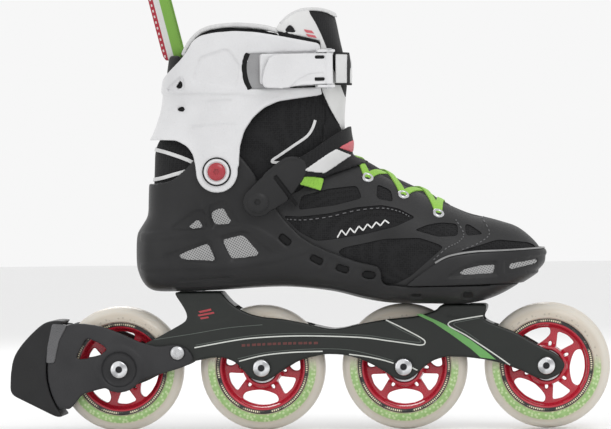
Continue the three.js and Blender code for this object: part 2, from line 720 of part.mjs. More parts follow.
function heel_loop() {
  const outside = [[-loop_half, loop_foot], ...arc([0, loop_foot + loop_rise], loop_half, 180, 0, 8), [loop_half, loop_foot]];
  const inner = loop_half - loop_band;
  const inside = [[-inner, loop_foot - 5], ...arc([0, loop_foot + loop_rise], inner, 180, 0, 8), [inner, loop_foot - 5]];
  const body = plate(outside, -loop_width / 2, loop_width / 2).subtract(plate(inside, -reach, reach));
  const upright = body.rotate([0, 0, 90]);
  const lean = new THREE.Matrix4().set(1, 0, -0.25, -111.5 + 0.25 * loop_foot, 0, 1, 0, 0, 0, 0, 1, 0, 0, 0, 0, 1);
  return upright.transform(lean.elements);
}

// ---------------------------------------------------------------- the skate
const skate = new THREE.Group();
const origin_x = -(pad_outline[6][0] + wheel_x[wheel_count - 1] + wheel_radius) / 2;
skate.position.set(origin_x, 0, wheel_radius - axle_z);

function add(name, body, colour, roughness, metalness = 0) {
  const mesh_data = body.getMesh();
  const geometry = new THREE.BufferGeometry();
  geometry.setAttribute('position', new THREE.BufferAttribute(new Float32Array(mesh_data.vertProperties), 3));
  geometry.setIndex(new THREE.BufferAttribute(new Uint32Array(mesh_data.triVerts), 1));
  const mesh = new THREE.Mesh(geometry, new THREE.MeshStandardMaterial({ color: colour, roughness, metalness }));
  mesh.name = name;
  skate.add(mesh);
}

const hub_turns = [30, 25, 30, 55];
wheel_x.forEach((x, i) => {
  const n = i + 1;
  add(`tyre_${n}`, tyre(x), 0xc8beaf, 0.35);
  add(`hub_${n}`, hub(x, hub_turns[i]), 0xb62838, 0.3);
  add(`bearing_${n}_outer`, bearing(x, -1), 0xc9cbce, 0.3, 0.9);
  add(`bearing_${n}_inner`, bearing(x, 1), 0xc9cbce, 0.3, 0.9);
  add(`spacer_${n}`, spacer(x), 0xa9abad, 0.4, 0.9);
  const seat = i === 0 ? arm_outer + touch_gap : frame_half + touch_gap;
  add(`axle_${n}`, cross_bolt(x, axle_z, axle_radius, bolt_head_radius, seat), 0xd6d7d9, 0.2, 1);
});
add('frame', frame(), 0x1b1d1b, 0.4, 0.3);
add('frame_bolt_rear', mount_bolt(rear_mount), 0xb9babc, 0.3, 1);
add('frame_bolt_front', mount_bolt(front_mount), 0xb9babc, 0.3, 1);
add('brake_housing', brake_housing(), 0x2b2c2e, 0.5);
add('brake_pad', brake_pad(), 0x242425, 0.7);
add('brake_pad_screw', pad_screw(), 0xb9babc, 0.3, 1);
add('brake_bolt_outer', brake_bolt(-1), 0xd6d7d9, 0.2, 1);
add('brake_bolt_inner', brake_bolt(1), 0xd6d7d9, 0.2, 1);
add('boot_shell', boot_shell(), 0x37383a, 0.55);
add('toe_bumper', toe_bumper(), 0x3a3b3d, 0.55);
add('upper', upper(), 0x2b2c2d, 0.85);
add('liner', liner(), 0x1c1c1d, 0.9);
add('tongue', tongue(), 0xdadada, 0.8);
add('insole', insole(), 0x3a3a3c, 0.9);
add('lace', lace(), 0x9ec84f, 0.8);
add('cuff', cuff(), 0xe4e4e6, 0.4);
add('ankle_bolt_outer', ankle_bolt(-1), 0xb02a38, 0.35, 0.4);
add('ankle_bolt_inner', ankle_bolt(1), 0xb02a38, 0.35, 0.4);
add('instep_strap', instep_strap(), 0x2a2a2c, 0.85);
add('strap_arm', strap_arm(), 0x333436, 0.5);
add('strap_tab', strap_tab(), 0x97c949, 0.8);
add('strap_bolt_outer', strap_bolt(-1), 0x3a3b3d, 0.4, 0.5);
add('strap_bolt_inner', strap_bolt(1), 0x3a3b3d, 0.4, 0.5);
add('ladder_strap', ladder_strap(), 0xdedee0, 0.45);
add('band_screw', band_screw(), 0xb9babc, 0.3, 1);
add('buckle_base', buckle_base(), 0xd9d9db, 0.4);
add('buckle_lever', buckle_lever(), 0xe6e6e8, 0.35);
add('buckle_pin', buckle_pin(), 0xb9babc, 0.3, 1);
add('heel_loop', heel_loop(), 0xb9c98f, 0.9);

export default skate;
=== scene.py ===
import math

import bmesh
import bpy
from mathutils import Matrix, Vector


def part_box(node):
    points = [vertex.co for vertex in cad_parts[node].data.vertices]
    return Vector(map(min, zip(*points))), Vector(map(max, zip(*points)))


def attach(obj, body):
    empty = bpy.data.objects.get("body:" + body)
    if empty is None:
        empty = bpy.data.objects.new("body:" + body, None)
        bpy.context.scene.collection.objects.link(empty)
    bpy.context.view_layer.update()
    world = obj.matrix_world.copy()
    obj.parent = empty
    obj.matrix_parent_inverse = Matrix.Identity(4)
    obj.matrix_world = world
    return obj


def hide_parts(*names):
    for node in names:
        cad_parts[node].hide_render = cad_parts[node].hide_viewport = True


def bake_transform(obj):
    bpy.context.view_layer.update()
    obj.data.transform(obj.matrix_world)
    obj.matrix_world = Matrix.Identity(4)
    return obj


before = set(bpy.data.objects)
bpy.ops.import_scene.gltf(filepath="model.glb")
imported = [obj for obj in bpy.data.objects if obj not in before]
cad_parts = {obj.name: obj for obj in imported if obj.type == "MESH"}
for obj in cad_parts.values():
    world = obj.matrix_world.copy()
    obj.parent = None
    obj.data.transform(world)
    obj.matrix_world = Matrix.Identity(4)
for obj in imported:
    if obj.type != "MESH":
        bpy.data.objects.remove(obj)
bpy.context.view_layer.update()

# ------------------------------------------------------------------ the studio
# A pale seamless floor, a bright surround and three soft boxes: one large above the toe side, one low
# from the heel side and one behind for the edges. The camera stands square to the buckle side of the
# skate, a little above the axles.
floor_shape = bmesh.new()
bmesh.ops.create_grid(floor_shape, x_segments=1, y_segments=1, size=6.0)
bmesh.ops.translate(floor_shape, verts=floor_shape.verts, vec=(0, 0, -0.0005))
floor_mesh = bpy.data.meshes.new("studio_floor")
floor_shape.to_mesh(floor_mesh)
floor_shape.free()
studio_floor = bpy.data.objects.new("studio_floor", floor_mesh)
bpy.context.scene.collection.objects.link(studio_floor)
paper = bpy.data.materials.new("studio_paper")
paper.use_nodes = True
paper_shader = paper.node_tree.nodes["Principled BSDF"]
paper_shader.inputs["Roughness"].default_value = 0.9
paper_noise = paper.node_tree.nodes.new("ShaderNodeTexNoise")
paper_noise.inputs["Scale"].default_value = 3.0
paper_tone = paper.node_tree.nodes.new("ShaderNodeMapRange")
paper_tone.inputs["To Min"].default_value = 0.86
paper_tone.inputs["To Max"].default_value = 0.90
paper.node_tree.links.new(paper_noise.outputs["Fac"], paper_tone.inputs["Value"])
paper.node_tree.links.new(paper_tone.outputs["Result"], paper_shader.inputs["Base Color"])
floor_mesh.materials.append(paper)

surround = bpy.data.worlds.new("studio_surround")
surround.use_nodes = True
surround.node_tree.nodes["Background"].inputs["Color"].default_value = (1.0, 1.0, 1.0, 1.0)
surround.node_tree.nodes["Background"].inputs["Strength"].default_value = 0.93
bpy.context.scene.world = surround
bpy.context.scene.view_settings.view_transform = "Standard"


def soft_box(name, place, aim, width, power):
    lamp = bpy.data.lights.new(name, "AREA")
    lamp.shape = "DISK"
    lamp.size = width
    lamp.energy = power
    stand = bpy.data.objects.new(name, lamp)
    stand.location = place
    stand.rotation_euler = (Vector(aim) - Vector(place)).to_track_quat("-Z", "Y").to_euler()
    bpy.context.scene.collection.objects.link(stand)


soft_box("key_light", (0.7, -1.5, 1.5), (0, 0, 0.15), 0.9, 8.0)
soft_box("fill_light", (-1.4, -1.2, 0.5), (0, 0, 0.12), 0.8, 1.2)
soft_box("edge_light", (-0.3, 1.4, 1.2), (0, 0, 0.15), 0.9, 8.0)

view_turn = math.radians(4.237)
view_rise = math.radians(0.656)
view_roll = math.radians(-0.681)
view_distance = 4.2205
view_target = Vector((-0.00235, 0.0, 0.15441))
view_back = Vector((
    math.sin(view_turn) * math.cos(view_rise),
    -math.cos(view_turn) * math.cos(view_rise),
    math.sin(view_rise),
))
view_right = Vector((math.cos(view_turn), math.sin(view_turn), 0.0))
view_up = view_back.cross(view_right)
rolled_right = view_right * math.cos(view_roll) + view_up * math.sin(view_roll)
rolled_up = view_up * math.cos(view_roll) - view_right * math.sin(view_roll)
lens = bpy.data.cameras.new("studio_camera")
lens.lens = 346.2
lens.sensor_width = 36.0
camera = bpy.data.objects.new("studio_camera", lens)
camera.matrix_world = Matrix.Translation(view_target + view_back * view_distance) @ Matrix(
    (rolled_right, rolled_up, view_back)).transposed().to_4x4()
bpy.context.scene.collection.objects.link(camera)
bpy.context.scene.camera = camera

# ------------------------------------------------------------------ tyres
# Four cast polyurethane tyres, cream and slightly clear, poured round the rims of their hubs. A band
# of green with pale flecks covers the lower half of each side wall, and the rest a faint speckle of
# small dark marks.
mm = 0.001
axle_x = []
for n in (1, 2, 3, 4):
    axle_low, axle_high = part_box(f"axle_{n}")
    axle_x.append((axle_low.x + axle_high.x) / 2)
    axle_height = (axle_low.z + axle_high.z) / 2
drawing_x = (axle_x[1] + axle_x[2]) / 2  # x of the drawings' zero, in the middle of the wheelbase
wheel_at = [(x - drawing_x) / mm for x in axle_x]
axle_z = axle_height / mm
tyre_radius = (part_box("tyre_1")[1].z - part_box("tyre_1")[0].z) / 2 / mm
tyre_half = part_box("tyre_1")[1].y / mm
print_inner, print_outer = 33.6, 38.9


def spot(x, y, z):
    """A point of the drawings, in millimetres, as a place in the scene."""
    return Vector((drawing_x + x * mm, y * mm, z * mm))


def made(name, shape):
    """A finished bmesh as an object in the scene."""
    mesh = bpy.data.meshes.new(name)
    shape.to_mesh(mesh)
    shape.free()
    piece = bpy.data.objects.new(name, mesh)
    bpy.context.scene.collection.objects.link(piece)
    return piece


def turned(name, profile, x, z, steps=96):
    """A profile of (radius, y) points spun about the axis along Y through x, z."""
    shape = bmesh.new()
    closed = profile[0] == profile[-1]
    points = [shape.verts.new(spot(x + r, y, z)) for r, y in (profile[:-1] if closed else profile)]
    edges = [shape.edges.new(pair) for pair in zip(points, points[1:])]
    if closed:
        edges.append(shape.edges.new((points[-1], points[0])))
    bmesh.ops.spin(shape, geom=points + edges, cent=spot(x, 0, z), axis=(0, 1, 0),
                   angle=2 * math.pi, steps=steps, use_merge=True)
    bmesh.ops.remove_doubles(shape, verts=shape.verts, dist=1e-6)
    bmesh.ops.recalc_face_normals(shape, faces=shape.faces)
    return made(name, shape)


def closed_ring(profile, side=1):
    """A profile of (radius, y) points on one side of the skate, closed."""
    ring = [(r, side * y) for r, y in profile]
    return ring + [ring[0]]


def span(side, low, high):
    """Two distances from the middle plane as a lower and an upper y, on one side of the skate."""
    return sorted((side * low, side * high))


def mirrored(half):
    """A wheel profile's outer half joined to its twin on the other side, and closed."""
    whole = half + [(r, -y) for r, y in reversed(half)]
    return whole + [whole[0]]


def finished(piece, look, sharp=35):
    """Gives a piece its material and smooth shading with edges kept crisp above an angle."""
    piece.data.materials.clear()
    piece.data.materials.append(look)
    piece.data.polygons.foreach_set("use_smooth", [True] * len(piece.data.polygons))
    piece.data.set_sharp_from_angle(angle=math.radians(sharp))
    return piece


def node(look, kind, feeds=None, **settings):
    """A shader node with its settings, and its sockets fed by numbers or by other nodes' outputs."""
    new = look.node_tree.nodes.new("ShaderNode" + kind)
    for key, value in settings.items():
        setattr(new, key, value)
    for key, value in (feeds or {}).items():
        if isinstance(value, bpy.types.NodeSocket):
            look.node_tree.links.new(value, new.inputs[key])
        else:
            new.inputs[key].default_value = value
    return new


def shader_of(look, **inputs):
    """Sets or links the sockets of a material's main shader, with _ for each space in their names."""
    shader = look.node_tree.nodes["Principled BSDF"]
    for key, value in inputs.items():
        socket = shader.inputs[key.replace("_", " ")]
        if isinstance(value, bpy.types.NodeSocket):
            look.node_tree.links.new(value, socket)
        else:
            socket.default_value = value


def dressed(name, look):
    """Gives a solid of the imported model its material."""
    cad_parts[name].data.materials.clear()
    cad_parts[name].data.materials.append(look)


def new_look(name):
    """An empty material with its main shader."""
    look = bpy.data.materials.new(name)
    look.use_nodes = True
    return look


def on_piece(look, centre=(0, 0, 0), turn=(0, 0, 0), bends=False):
    """Object coordinates from a centre and along turned axes, or a bending piece's places at rest."""
    space = node(look, "TexCoord").outputs["Object"]
    if bends:
        space = node(look, "Attribute", attribute_name="rest_place").outputs["Vector"]
    return node(look, "Mapping", {"Vector": space, "Location": centre, "Rotation": turn},
                vector_type="TEXTURE").outputs["Vector"]


def blended(look, amount, low, high):
    """A colour between two, or between two nodes' colours, by an amount from 0 to 1."""
    low = low if isinstance(low, bpy.types.NodeSocket) else (*low, 1)
    high = high if isinstance(high, bpy.types.NodeSocket) else (*high, 1)
    mix = node(look, "Mix", data_type="RGBA")
    for socket, value in ((mix.inputs[0], amount), (mix.inputs[6], low), (mix.inputs[7], high)):
        if isinstance(value, bpy.types.NodeSocket):
            look.node_tree.links.new(value, socket)
        else:
            socket.default_value = value
    return mix.outputs[2]


def ranged(look, value, low, high, to_low=0.0, to_high=1.0):
    """A value scaled from one range to another and held inside it."""
    return node(look, "MapRange", {"Value": value, "From Min": low, "From Max": high,
                                   "To Min": to_low, "To Max": to_high}).outputs["Result"]


def maths(look, kind, *values):
    """A Math node of the given kind on numbers or outputs."""
    new = node(look, "Math", operation=kind)
    for socket, value in zip(new.inputs, values):
        if isinstance(value, bpy.types.NodeSocket):
            look.node_tree.links.new(value, socket)
        else:
            socket.default_value = value
    return new.outputs["Value"]


def noise(look, at, scale, detail=2.0):
    """Soft random mottling, from 0 to 1, at a number of spots per metre."""
    return node(look, "TexNoise", {"Vector": at, "Scale": scale, "Detail": detail}).outputs["Fac"]


def bumped(look, height, depth, strength=1.0):
    """Relief of a depth in metres, for a shader's normal."""
    return node(look, "Bump", {"Height": height, "Distance": depth, "Strength": strength}).outputs["Normal"]


def round_axle(look, wheel):
    """Radius in millimetres, angle, and coordinates centred on a wheel's axle."""
    at = on_piece(look, centre=(axle_x[wheel], 0, axle_height))
    parts = node(look, "SeparateXYZ", {"Vector": at})
    flat = node(look, "CombineXYZ", {"X": parts.outputs["X"], "Z": parts.outputs["Z"]}).outputs["Vector"]
    metres = node(look, "VectorMath", {0: flat}, operation="LENGTH").outputs["Value"]
    radius = maths(look, "MULTIPLY", metres, 1 / mm)
    angle = maths(look, "ARCTAN2", parts.outputs["Z"], parts.outputs["X"])
    return radius, angle, parts.outputs["Z"], at


def between(look, value, low, high, soft=0.25):
    """1 where a value lies between two limits, fading out over a soft edge."""
    rising = ranged(look, value, low - soft, low + soft)
    falling = ranged(look, value, high - soft, high + soft, 1.0, 0.0)
    return maths(look, "MULTIPLY", rising, falling)


def tyre_look(wheel):
    """Clouded cream urethane with a speckled green band low on each side wall."""
    look = new_look(f"cast_urethane_{wheel + 1}")
    radius, angle, height, at = round_axle(look, wheel)
    cloud = noise(look, at, 60.0, 3.0)
    cream = blended(look, cloud, (0.52, 0.46, 0.38), (0.64, 0.585, 0.50))
    edge = between(look, radius, 40.0, 44.2, 1.2)
    cream = blended(look, edge, cream, (0.66, 0.62, 0.55))
    flat = node(look, "CombineXYZ", {
        "X": maths(look, "MULTIPLY", angle, 11.5),
        "Y": maths(look, "MULTIPLY", radius, 0.33),
    }).outputs["Vector"]
    cells = node(look, "TexVoronoi", {"Vector": flat, "Scale": 1.05, "Randomness": 0.8},
                 voronoi_dimensions="2D").outputs["Distance"]
    fleck = ranged(look, cells, 0.20, 0.36, 1.0, 0.0)
    green = blended(look, noise(look, at, 140.0), (0.20, 0.42, 0.10), (0.37, 0.60, 0.22))
    green = blended(look, maths(look, "MULTIPLY", fleck, 0.6), green, (0.72, 0.82, 0.50))
    printed = between(look, radius, print_inner, print_outer, 0.35)
    low_arc = ranged(look, height, -4 * mm, 7 * mm, 1.0, 0.0)
    green_band = maths(look, "MULTIPLY", maths(look, "MULTIPLY", printed, low_arc), 0.88)
    marks = maths(look, "MULTIPLY", between(look, radius, 35.4, 37.4),
                  ranged(look, cells, 0.20, 0.26, 0.5, 0.0))
    colour = blended(look, marks, cream, (0.30, 0.26, 0.22))
    colour = blended(look, green_band, colour, green)
    rough = ranged(look, noise(look, at, 500.0), 0.3, 0.7, 0.30, 0.44)
    shader_of(look, Base_Color=colour, Roughness=rough, Coat_Weight=0.25, Coat_Roughness=0.15,
              Subsurface_Weight=0.25, Subsurface_Radius=(0.006, 0.005, 0.004), Subsurface_Scale=1.0,
              Normal=bumped(look, noise(look, at, 900.0), 0.00005, 0.4))
    return look


tread = [
    (tyre_radius - 0.02, 1.6), (tyre_radius - 0.16, 3.2), (tyre_radius - 0.65, 5.2),
    (tyre_radius - 1.7, 7.3), (tyre_radius - 3.3, 9.3), (tyre_radius - 5.4, 10.9), (tyre_radius - 7.6, 11.7),
    (tyre_radius - 9.6, tyre_half), (tyre_radius - 10.9, 11.7), (33.75, 11.2), (33.3, 10.6), (33.3, 9.1),
]
for n in (1, 2, 3, 4):
    tyre = turned(f"urethane_tyre_{n}", mirrored(tread), wheel_at[n - 1], axle_z, steps=144)
    finished(tyre, tyre_look(n - 1))
    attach(tyre, f"wheel_{n}")
    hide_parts(f"tyre_{n}")

# ------------------------------------------------------------------ hubs
# Glossy red nylon hubs, one moulding each: a rim, a boss for the two bearings and six spokes in pairs,
# left between three wide windows and three small ones. A black ring printed with pale dots runs round
# the edge of both rim faces.
rim_radius = 33.0
hub_profile = [
    (9.6, 4.7), (11.35, 4.7), (11.35, 11.95), (13.0, 11.95), (13.7, 11.3), (14.3, 7.0), (15.0, 4.4),
    (16.4, 3.5), (26.9, 3.5), (27.9, 4.1), (28.6, 6.4), (29.2, 8.1), (30.2, 8.5), (rim_radius, 8.5),
]
large_window = [(27, -30), (27, -15), (27, 0), (27, 15), (27, 30), (22.5, 32), (18.3, 21), (16.1, 0),
                (18.3, -21), (22.5, -32)]
small_window = [(25.3, -17), (25.8, 0), (25.3, 17), (19, 13), (13.6, 7), (13.6, -7), (19, -13)]
spoke_slot = [(16.6, -4.5), (17.6, -1), (16.8, 3.5), (14.2, 4.5), (13.4, 0), (14.2, -4.5)]
hub_turns = {1: 38, 2: -35, 3: -30, 4: 55}  # angle of a small window, in degrees


def rounded(outline, radius, steps=4):
    """An outline with each corner taken round."""
    path = []
    count = len(outline)
    for k in range(count):
        before, corner, after = (Vector(outline[(k + i) % count]) for i in (-1, 0, 1))
        start = corner + (before - corner).normalized() * min(radius, (before - corner).length * 0.46)
        end = corner + (after - corner).normalized() * min(radius, (after - corner).length * 0.46)
        for i in range(steps + 1):
            path.append(tuple(start.lerp(corner, i / steps).lerp(corner.lerp(end, i / steps), i / steps)))
    return path


def plates(name, outlines, y0, y1):
    """Outlines of (x, z) points raised into plates from y0 to y1, as one object."""
    shape = bmesh.new()
    for outline in outlines:
        face = shape.faces.new([shape.verts.new(spot(x, y0, z)) for x, z in outline])
        raised = bmesh.ops.extrude_face_region(shape, geom=[face])["geom"]
        tops = [part for part in raised if isinstance(part, bmesh.types.BMVert)]
        bmesh.ops.translate(shape, verts=tops, vec=(0, (y1 - y0) * mm, 0))
    bmesh.ops.recalc_face_normals(shape, faces=shape.faces)
    return made(name, shape)


def settled(piece):
    """Makes the modifiers of a piece its own mesh."""
    graph = bpy.context.evaluated_depsgraph_get()
    piece.data = bpy.data.meshes.new_from_object(piece.evaluated_get(graph))
    piece.modifiers.clear()
    return piece


def carved(piece, cutter, how="DIFFERENCE"):
    """Cuts a piece with a closed shape, joins the two or keeps what they share."""
    tool = piece.modifiers.new("carve", "BOOLEAN")
    tool.operation = how
    tool.solver = "MANIFOLD"
    tool.object = cutter
    settled(piece)
    bpy.data.objects.remove(cutter)
    return piece


def softened(piece, grid, passes=3):
    """Remeshes a piece on an even grid and eases its edges, as a moulding's are."""
    even = piece.modifiers.new("even", "REMESH")
    even.mode = "VOXEL"
    even.voxel_size = grid * mm
    ease = piece.modifiers.new("ease", "SMOOTH")
    ease.factor = 0.5
    ease.iterations = passes
    return settled(piece)


def copied(piece, name):
    """A second piece with its own copy of the mesh."""
    twin = bpy.data.objects.new(name, piece.data.copy())
    bpy.context.scene.collection.objects.link(twin)
    return twin


def around(outline, turn):
    """Points of (radius, degrees) as (x, z) round the origin."""
    return [(r * math.cos(math.radians(a + turn)), r * math.sin(math.radians(a + turn))) for r, a in outline]


def around_at(x, z, outline, turn=0):
    """Points of (radius, degrees) as (x, z) round a place."""
    return [(x + px, z + pz) for px, pz in around(outline, turn)]


def hexagon_of(radius):
    """A hexagon's corners as (radius, degrees)."""
    return [(radius, 60 * k) for k in range(6)]


def hub_look():
    """Glossy red nylon, a little uneven in depth of colour."""
    look = new_look("red_nylon")
    at = on_piece(look)
    colour = blended(look, noise(look, at, 45.0, 4.0), (0.40, 0.012, 0.028), (0.56, 0.022, 0.044))
    fine = noise(look, at, 1400.0)
    shader_of(look, Base_Color=colour, Roughness=ranged(look, fine, 0.3, 0.7, 0.22, 0.36),
              Coat_Weight=0.35, Coat_Roughness=0.12, Normal=bumped(look, fine, 0.00006, 0.35))
    return look


def ring_look(wheel):
    """A black printed ring with a row of pale dots, broken here and there."""
    look = new_look(f"rim_print_{wheel + 1}")
    radius, angle, _, at = round_axle(look, wheel)
    beads = maths(look, "FRACT", maths(look, "MULTIPLY", angle, 132 / (2 * math.pi)))
    bead = between(look, beads, 0.20, 0.76, 0.12)
    gaps = ranged(look, noise(look, at, 95.0, 1.0), 0.42, 0.50)
    row = between(look, radius, 31.25, 32.55, 0.15)
    dots = maths(look, "MULTIPLY", maths(look, "MULTIPLY", bead, row), gaps)
    colour = blended(look, dots, (0.012, 0.012, 0.012), (0.95, 0.86, 0.62))
    shader_of(look, Base_Color=colour, Roughness=ranged(look, noise(look, at, 700.0), 0.3, 0.7, 0.3, 0.45),
              Coat_Weight=0.2)
    return look


red_nylon = hub_look()
blank_hub = turned("blank_hub", mirrored(hub_profile), 0, 0, steps=120)
window_outlines = []
for third in range(3):
    window_outlines.append(rounded(around(small_window, 120 * third), 2.0))
    window_outlines.append(rounded(around(large_window, 60 + 120 * third), 2.2))
    for side in (-1, 1):
        window_outlines.append(rounded(around(spoke_slot, 120 * third + side * 27), 1.2))
carved(blank_hub, plates("hub_windows", window_outlines, -8, 8))
softened(blank_hub, 0.62, passes=2)
for n in (1, 2, 3, 4):
    hub = copied(blank_hub, f"red_hub_{n}")
    placed = Matrix.Translation(spot(wheel_at[n - 1], 0, axle_z)) @ Matrix.Rotation(
        math.radians(-hub_turns[n]), 4, "Y") @ Matrix.Translation(-spot(0, 0, 0))
    hub.data.transform(placed)
    finished(hub, red_nylon, sharp=60)
    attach(hub, f"wheel_{n}")
    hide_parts(f"hub_{n}")
    ring_profile = [(30.6, 8.2), (30.6, 8.75), (30.9, 8.85), (33.0, 8.85), (33.2, 8.7), (33.2, 8.2)]
    rim_look = ring_look(n - 1)
    for side, side_name in ((-1, "outer"), (1, "inner")):
        rim_print = turned(f"rim_print_{n}_{side_name}", closed_ring(ring_profile, side), wheel_at[n - 1],
                           axle_z, steps=144)
        finished(rim_print, rim_look)
        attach(rim_print, f"wheel_{n}")
bpy.data.objects.remove(blank_hub)

# ------------------------------------------------------------------ bearings and axles
# Two shielded steel ball bearings press into each hub with a spacer between them. A chromed bolt with
# a domed head and a hexagon socket passes through both frame walls and clamps the stack, so the
# bearings' outer races turn with the hub and the bolt stands still.
bearing_race = [(4.1, 0.0), (5.9, 0.0), (6.1, 0.35), (6.3, 0.55), (9.3, 0.55), (9.5, 0.35), (9.7, 0.0),
                (10.75, 0.0), (11.0, 0.25), (11.0, 7.0), (4.1, 7.0)]
bolt_head = [(0.0, 2.5), (3.2, 2.48), (4.9, 2.3), (5.9, 1.8), (6.35, 1.1), (6.4, 0.5), (6.2, 0.0),
             (3.7, 0.0)]
socket_radius = 2.3


def sine_of(look, value, rate):
    """The sine of a value times a rate."""
    return maths(look, "SINE", maths(look, "MULTIPLY", value, rate))


def brushed_steel(name, tint=0.62, rough=0.24, wheel=None):
    """Bright metal with fine turning marks round its own axle, or a plain fine grain. Round an axle it also
    has painted reflections in darker sectors and painted shade in the socket.
    """
    look = new_look(name)
    if wheel is None:
        at = on_piece(look)
        marks = noise(look, at, 1800.0, 3.0)
    else:
        radius, angle, _, at = round_axle(look, wheel)
        marks = node(look, "TexWave", {"Vector": at, "Scale": 260.0, "Distortion": 1.5, "Detail": 2.0},
                     wave_type="RINGS", rings_direction="Y").outputs["Fac"]
    cloud = noise(look, at, 210.0, 3.0)
    colour = blended(look, cloud, (tint * 0.8, tint * 0.81, tint * 0.83),
                     (tint * 1.15, tint * 1.16, tint * 1.18))
    if wheel is not None:
        # Painted reflection: two darker sectors round the axle, as dark surroundings show in polished metal.
        painted_reflection_sectors = sine_of(look, angle, 2.0)
        colour = blended(look, ranged(look, painted_reflection_sectors, 0.1, 0.9, 0.0, 0.6), colour,
                         (tint * 0.3, tint * 0.3, tint * 0.32))
        # Painted shade: the colour goes near black inside the bolt's hexagon socket.
        colour = blended(look, between(look, radius, -1.0, 2.5, 0.3), colour, (0.035, 0.035, 0.038))
    shader_of(look, Base_Color=colour, Metallic=1.0,
              Roughness=ranged(look, marks, 0.2, 0.8, rough - 0.06, rough + 0.1),
              Normal=bumped(look, marks, 0.00004, 0.35))
    return look


def bolt(name, x, z, seat, sockets=(-1, 1)):
    """A bolt along Y with a domed head on each end and a hexagon socket in those named."""
    half = [(r, seat + y) for r, y in bolt_head]
    whole = half + [(r, -y) for r, y in reversed(half)]
    body = turned(name, whole, x, z, steps=64)
    for side in sockets:
        hexagon = around_at(x, z, hexagon_of(socket_radius), 12)
        near, far = span(side, seat + 0.6, seat + 4)
        carved(body, plates("socket", [hexagon], near, far))
    return body


for n in (1, 2, 3, 4):
    steel = brushed_steel(f"turned_steel_{n}", wheel=n - 1)
    for side, side_name in ((-1, "outer"), (1, "inner")):
        ring = closed_ring([(r, tyre_half - y) for r, y in bearing_race], side)
        race = turned(f"ball_bearing_{n}_{side_name}", ring, wheel_at[n - 1], axle_z, steps=72)
        finished(race, steel)
        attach(race, f"wheel_{n}")
        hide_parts(f"bearing_{n}_{side_name}")
    dressed(f"spacer_{n}", steel)
    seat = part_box(f"axle_{n}")[1].y / mm - 2.5
    axle = bolt(f"chrome_axle_{n}", wheel_at[n - 1], axle_z, seat)
    finished(axle, brushed_steel(f"chrome_{n}", tint=0.78, rough=0.16, wheel=n - 1))
    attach(axle, "boot")
    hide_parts(f"axle_{n}")

# ------------------------------------------------------------------ frame
# The frame is one black aluminium channel: two arched side walls joined by a deck, with a tower for
# each of the two bolts that hold it under the sole. It is satin anodised, and printed on both sides
# with pale pinstripes, a green flash and small red marks.
frame_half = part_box("frame")[1].y / mm
well_past = 60  # farther from the middle plane than any part of the skate
channel_half = frame_half - 3.5
deck = 5.0
tread_gap = 3.0
frame_outline = [
    (-113, 100), (-112.5, 98), (-106, 88), (-104, 83), (-105, 79), (-112, 75), (-125, 68), (-140, 61),
    (-153, 58), (-163, 53), (-166, 45), (-162, 35), (-153, 31.5), (-138, 34.5), (-125, 41), (-111, 47.5),
    (-98, 50.5), (-88, 52.5), (-79, 53), (-70, 49.5), (-64, 43), (-59, 37.5), (-51, 35), (-44, 37.5),
    (-35, 43.5), (-28, 48), (-20, 51.5), (-5, 54.5), (8, 54), (20, 50.8), (30, 46), (39, 40.5), (44, 37),
    (51, 35), (58, 37.5), (64, 43.5), (72, 49.3), (81, 52), (95, 51.5), (110, 49.5), (121, 46.8),
    (135, 41.5), (145, 36.5), (153, 34.5), (162, 38.5), (167, 45), (163, 51), (157, 55), (150, 58),
    (140, 64), (130, 69.5), (120, 73.5), (112, 76.5), (108, 79), (108.3, 82), (110.5, 85), (111, 89.4),
    (78, 89.4), (75, 85.3), (68, 83), (60, 81), (38, 79), (20, 76), (8, 73.2), (0, 72.4), (-8, 73.8),
    (-20, 77), (-35, 80), (-50, 81.5), (-58, 83.5), (-66, 87), (-73, 92), (-79, 99), (-79.4, 100),
]


def curve_through(points, steps=6):
    """Points on a smooth curve that passes through the given ones."""
    path = []
    for k in range(len(points) - 1):
        near = [points[min(max(k + i, 0), len(points) - 1)] for i in (-1, 0, 1, 2)]
        for i in range(steps):
            t = i / steps
            weights = (-t + 2 * t**2 - t**3, 2 - 5 * t**2 + 3 * t**3, t + 4 * t**2 - 3 * t**3, t**3 - t**2)
            path.append(tuple(sum(w * p[axis] for w, p in zip(weights, near)) / 2 for axis in (0, 1)))
    return path + [tuple(points[-1])]


def band(points, widths):
    """The outline of a stripe along a line, with its width going from the first value to the last."""
    left, right = [], []
    for k, (x, z) in enumerate(points):
        before, after = Vector(points[max(k - 1, 0)]), Vector(points[min(k + 1, len(points) - 1)])
        across = (after - before).normalized().orthogonal()
        share = k / (len(points) - 1)
        half = (widths[0] * (1 - share) + widths[1] * share) / 2
        left.append((x + across.x * half, z + across.y * half))
        right.append((x - across.x * half, z - across.y * half))
    return left + right[::-1]


def rod(name, radius, x, z, y0, y1, steps=64):
    """A rod along Y."""
    return turned(name, [(0, y0), (radius, y0), (radius, y1), (0, y1)], x, z, steps)


def joined(name, pieces):
    """Several closed shapes merged into one solid."""
    whole = pieces[0]
    for other in pieces[1:]:
        carved(whole, other, "UNION")
    whole.name = name
    return whole


def anodised_look():
    """Satin black anodising with a fine, even tooth."""
    look = new_look("black_anodised")
    at = on_piece(look)
    cloud = noise(look, at, 26.0, 4.0)
    fine = noise(look, at, 2200.0)
    colour = blended(look, cloud, (0.0085, 0.0105, 0.009), (0.0150, 0.0180, 0.0155))
    shader_of(look, Base_Color=colour, Metallic=0.25, Roughness=ranged(look, fine, 0.3, 0.7, 0.36, 0.50),
              Coat_Weight=0.12, Coat_Roughness=0.25, Normal=bumped(look, fine, 0.00005, 0.5))
    return look


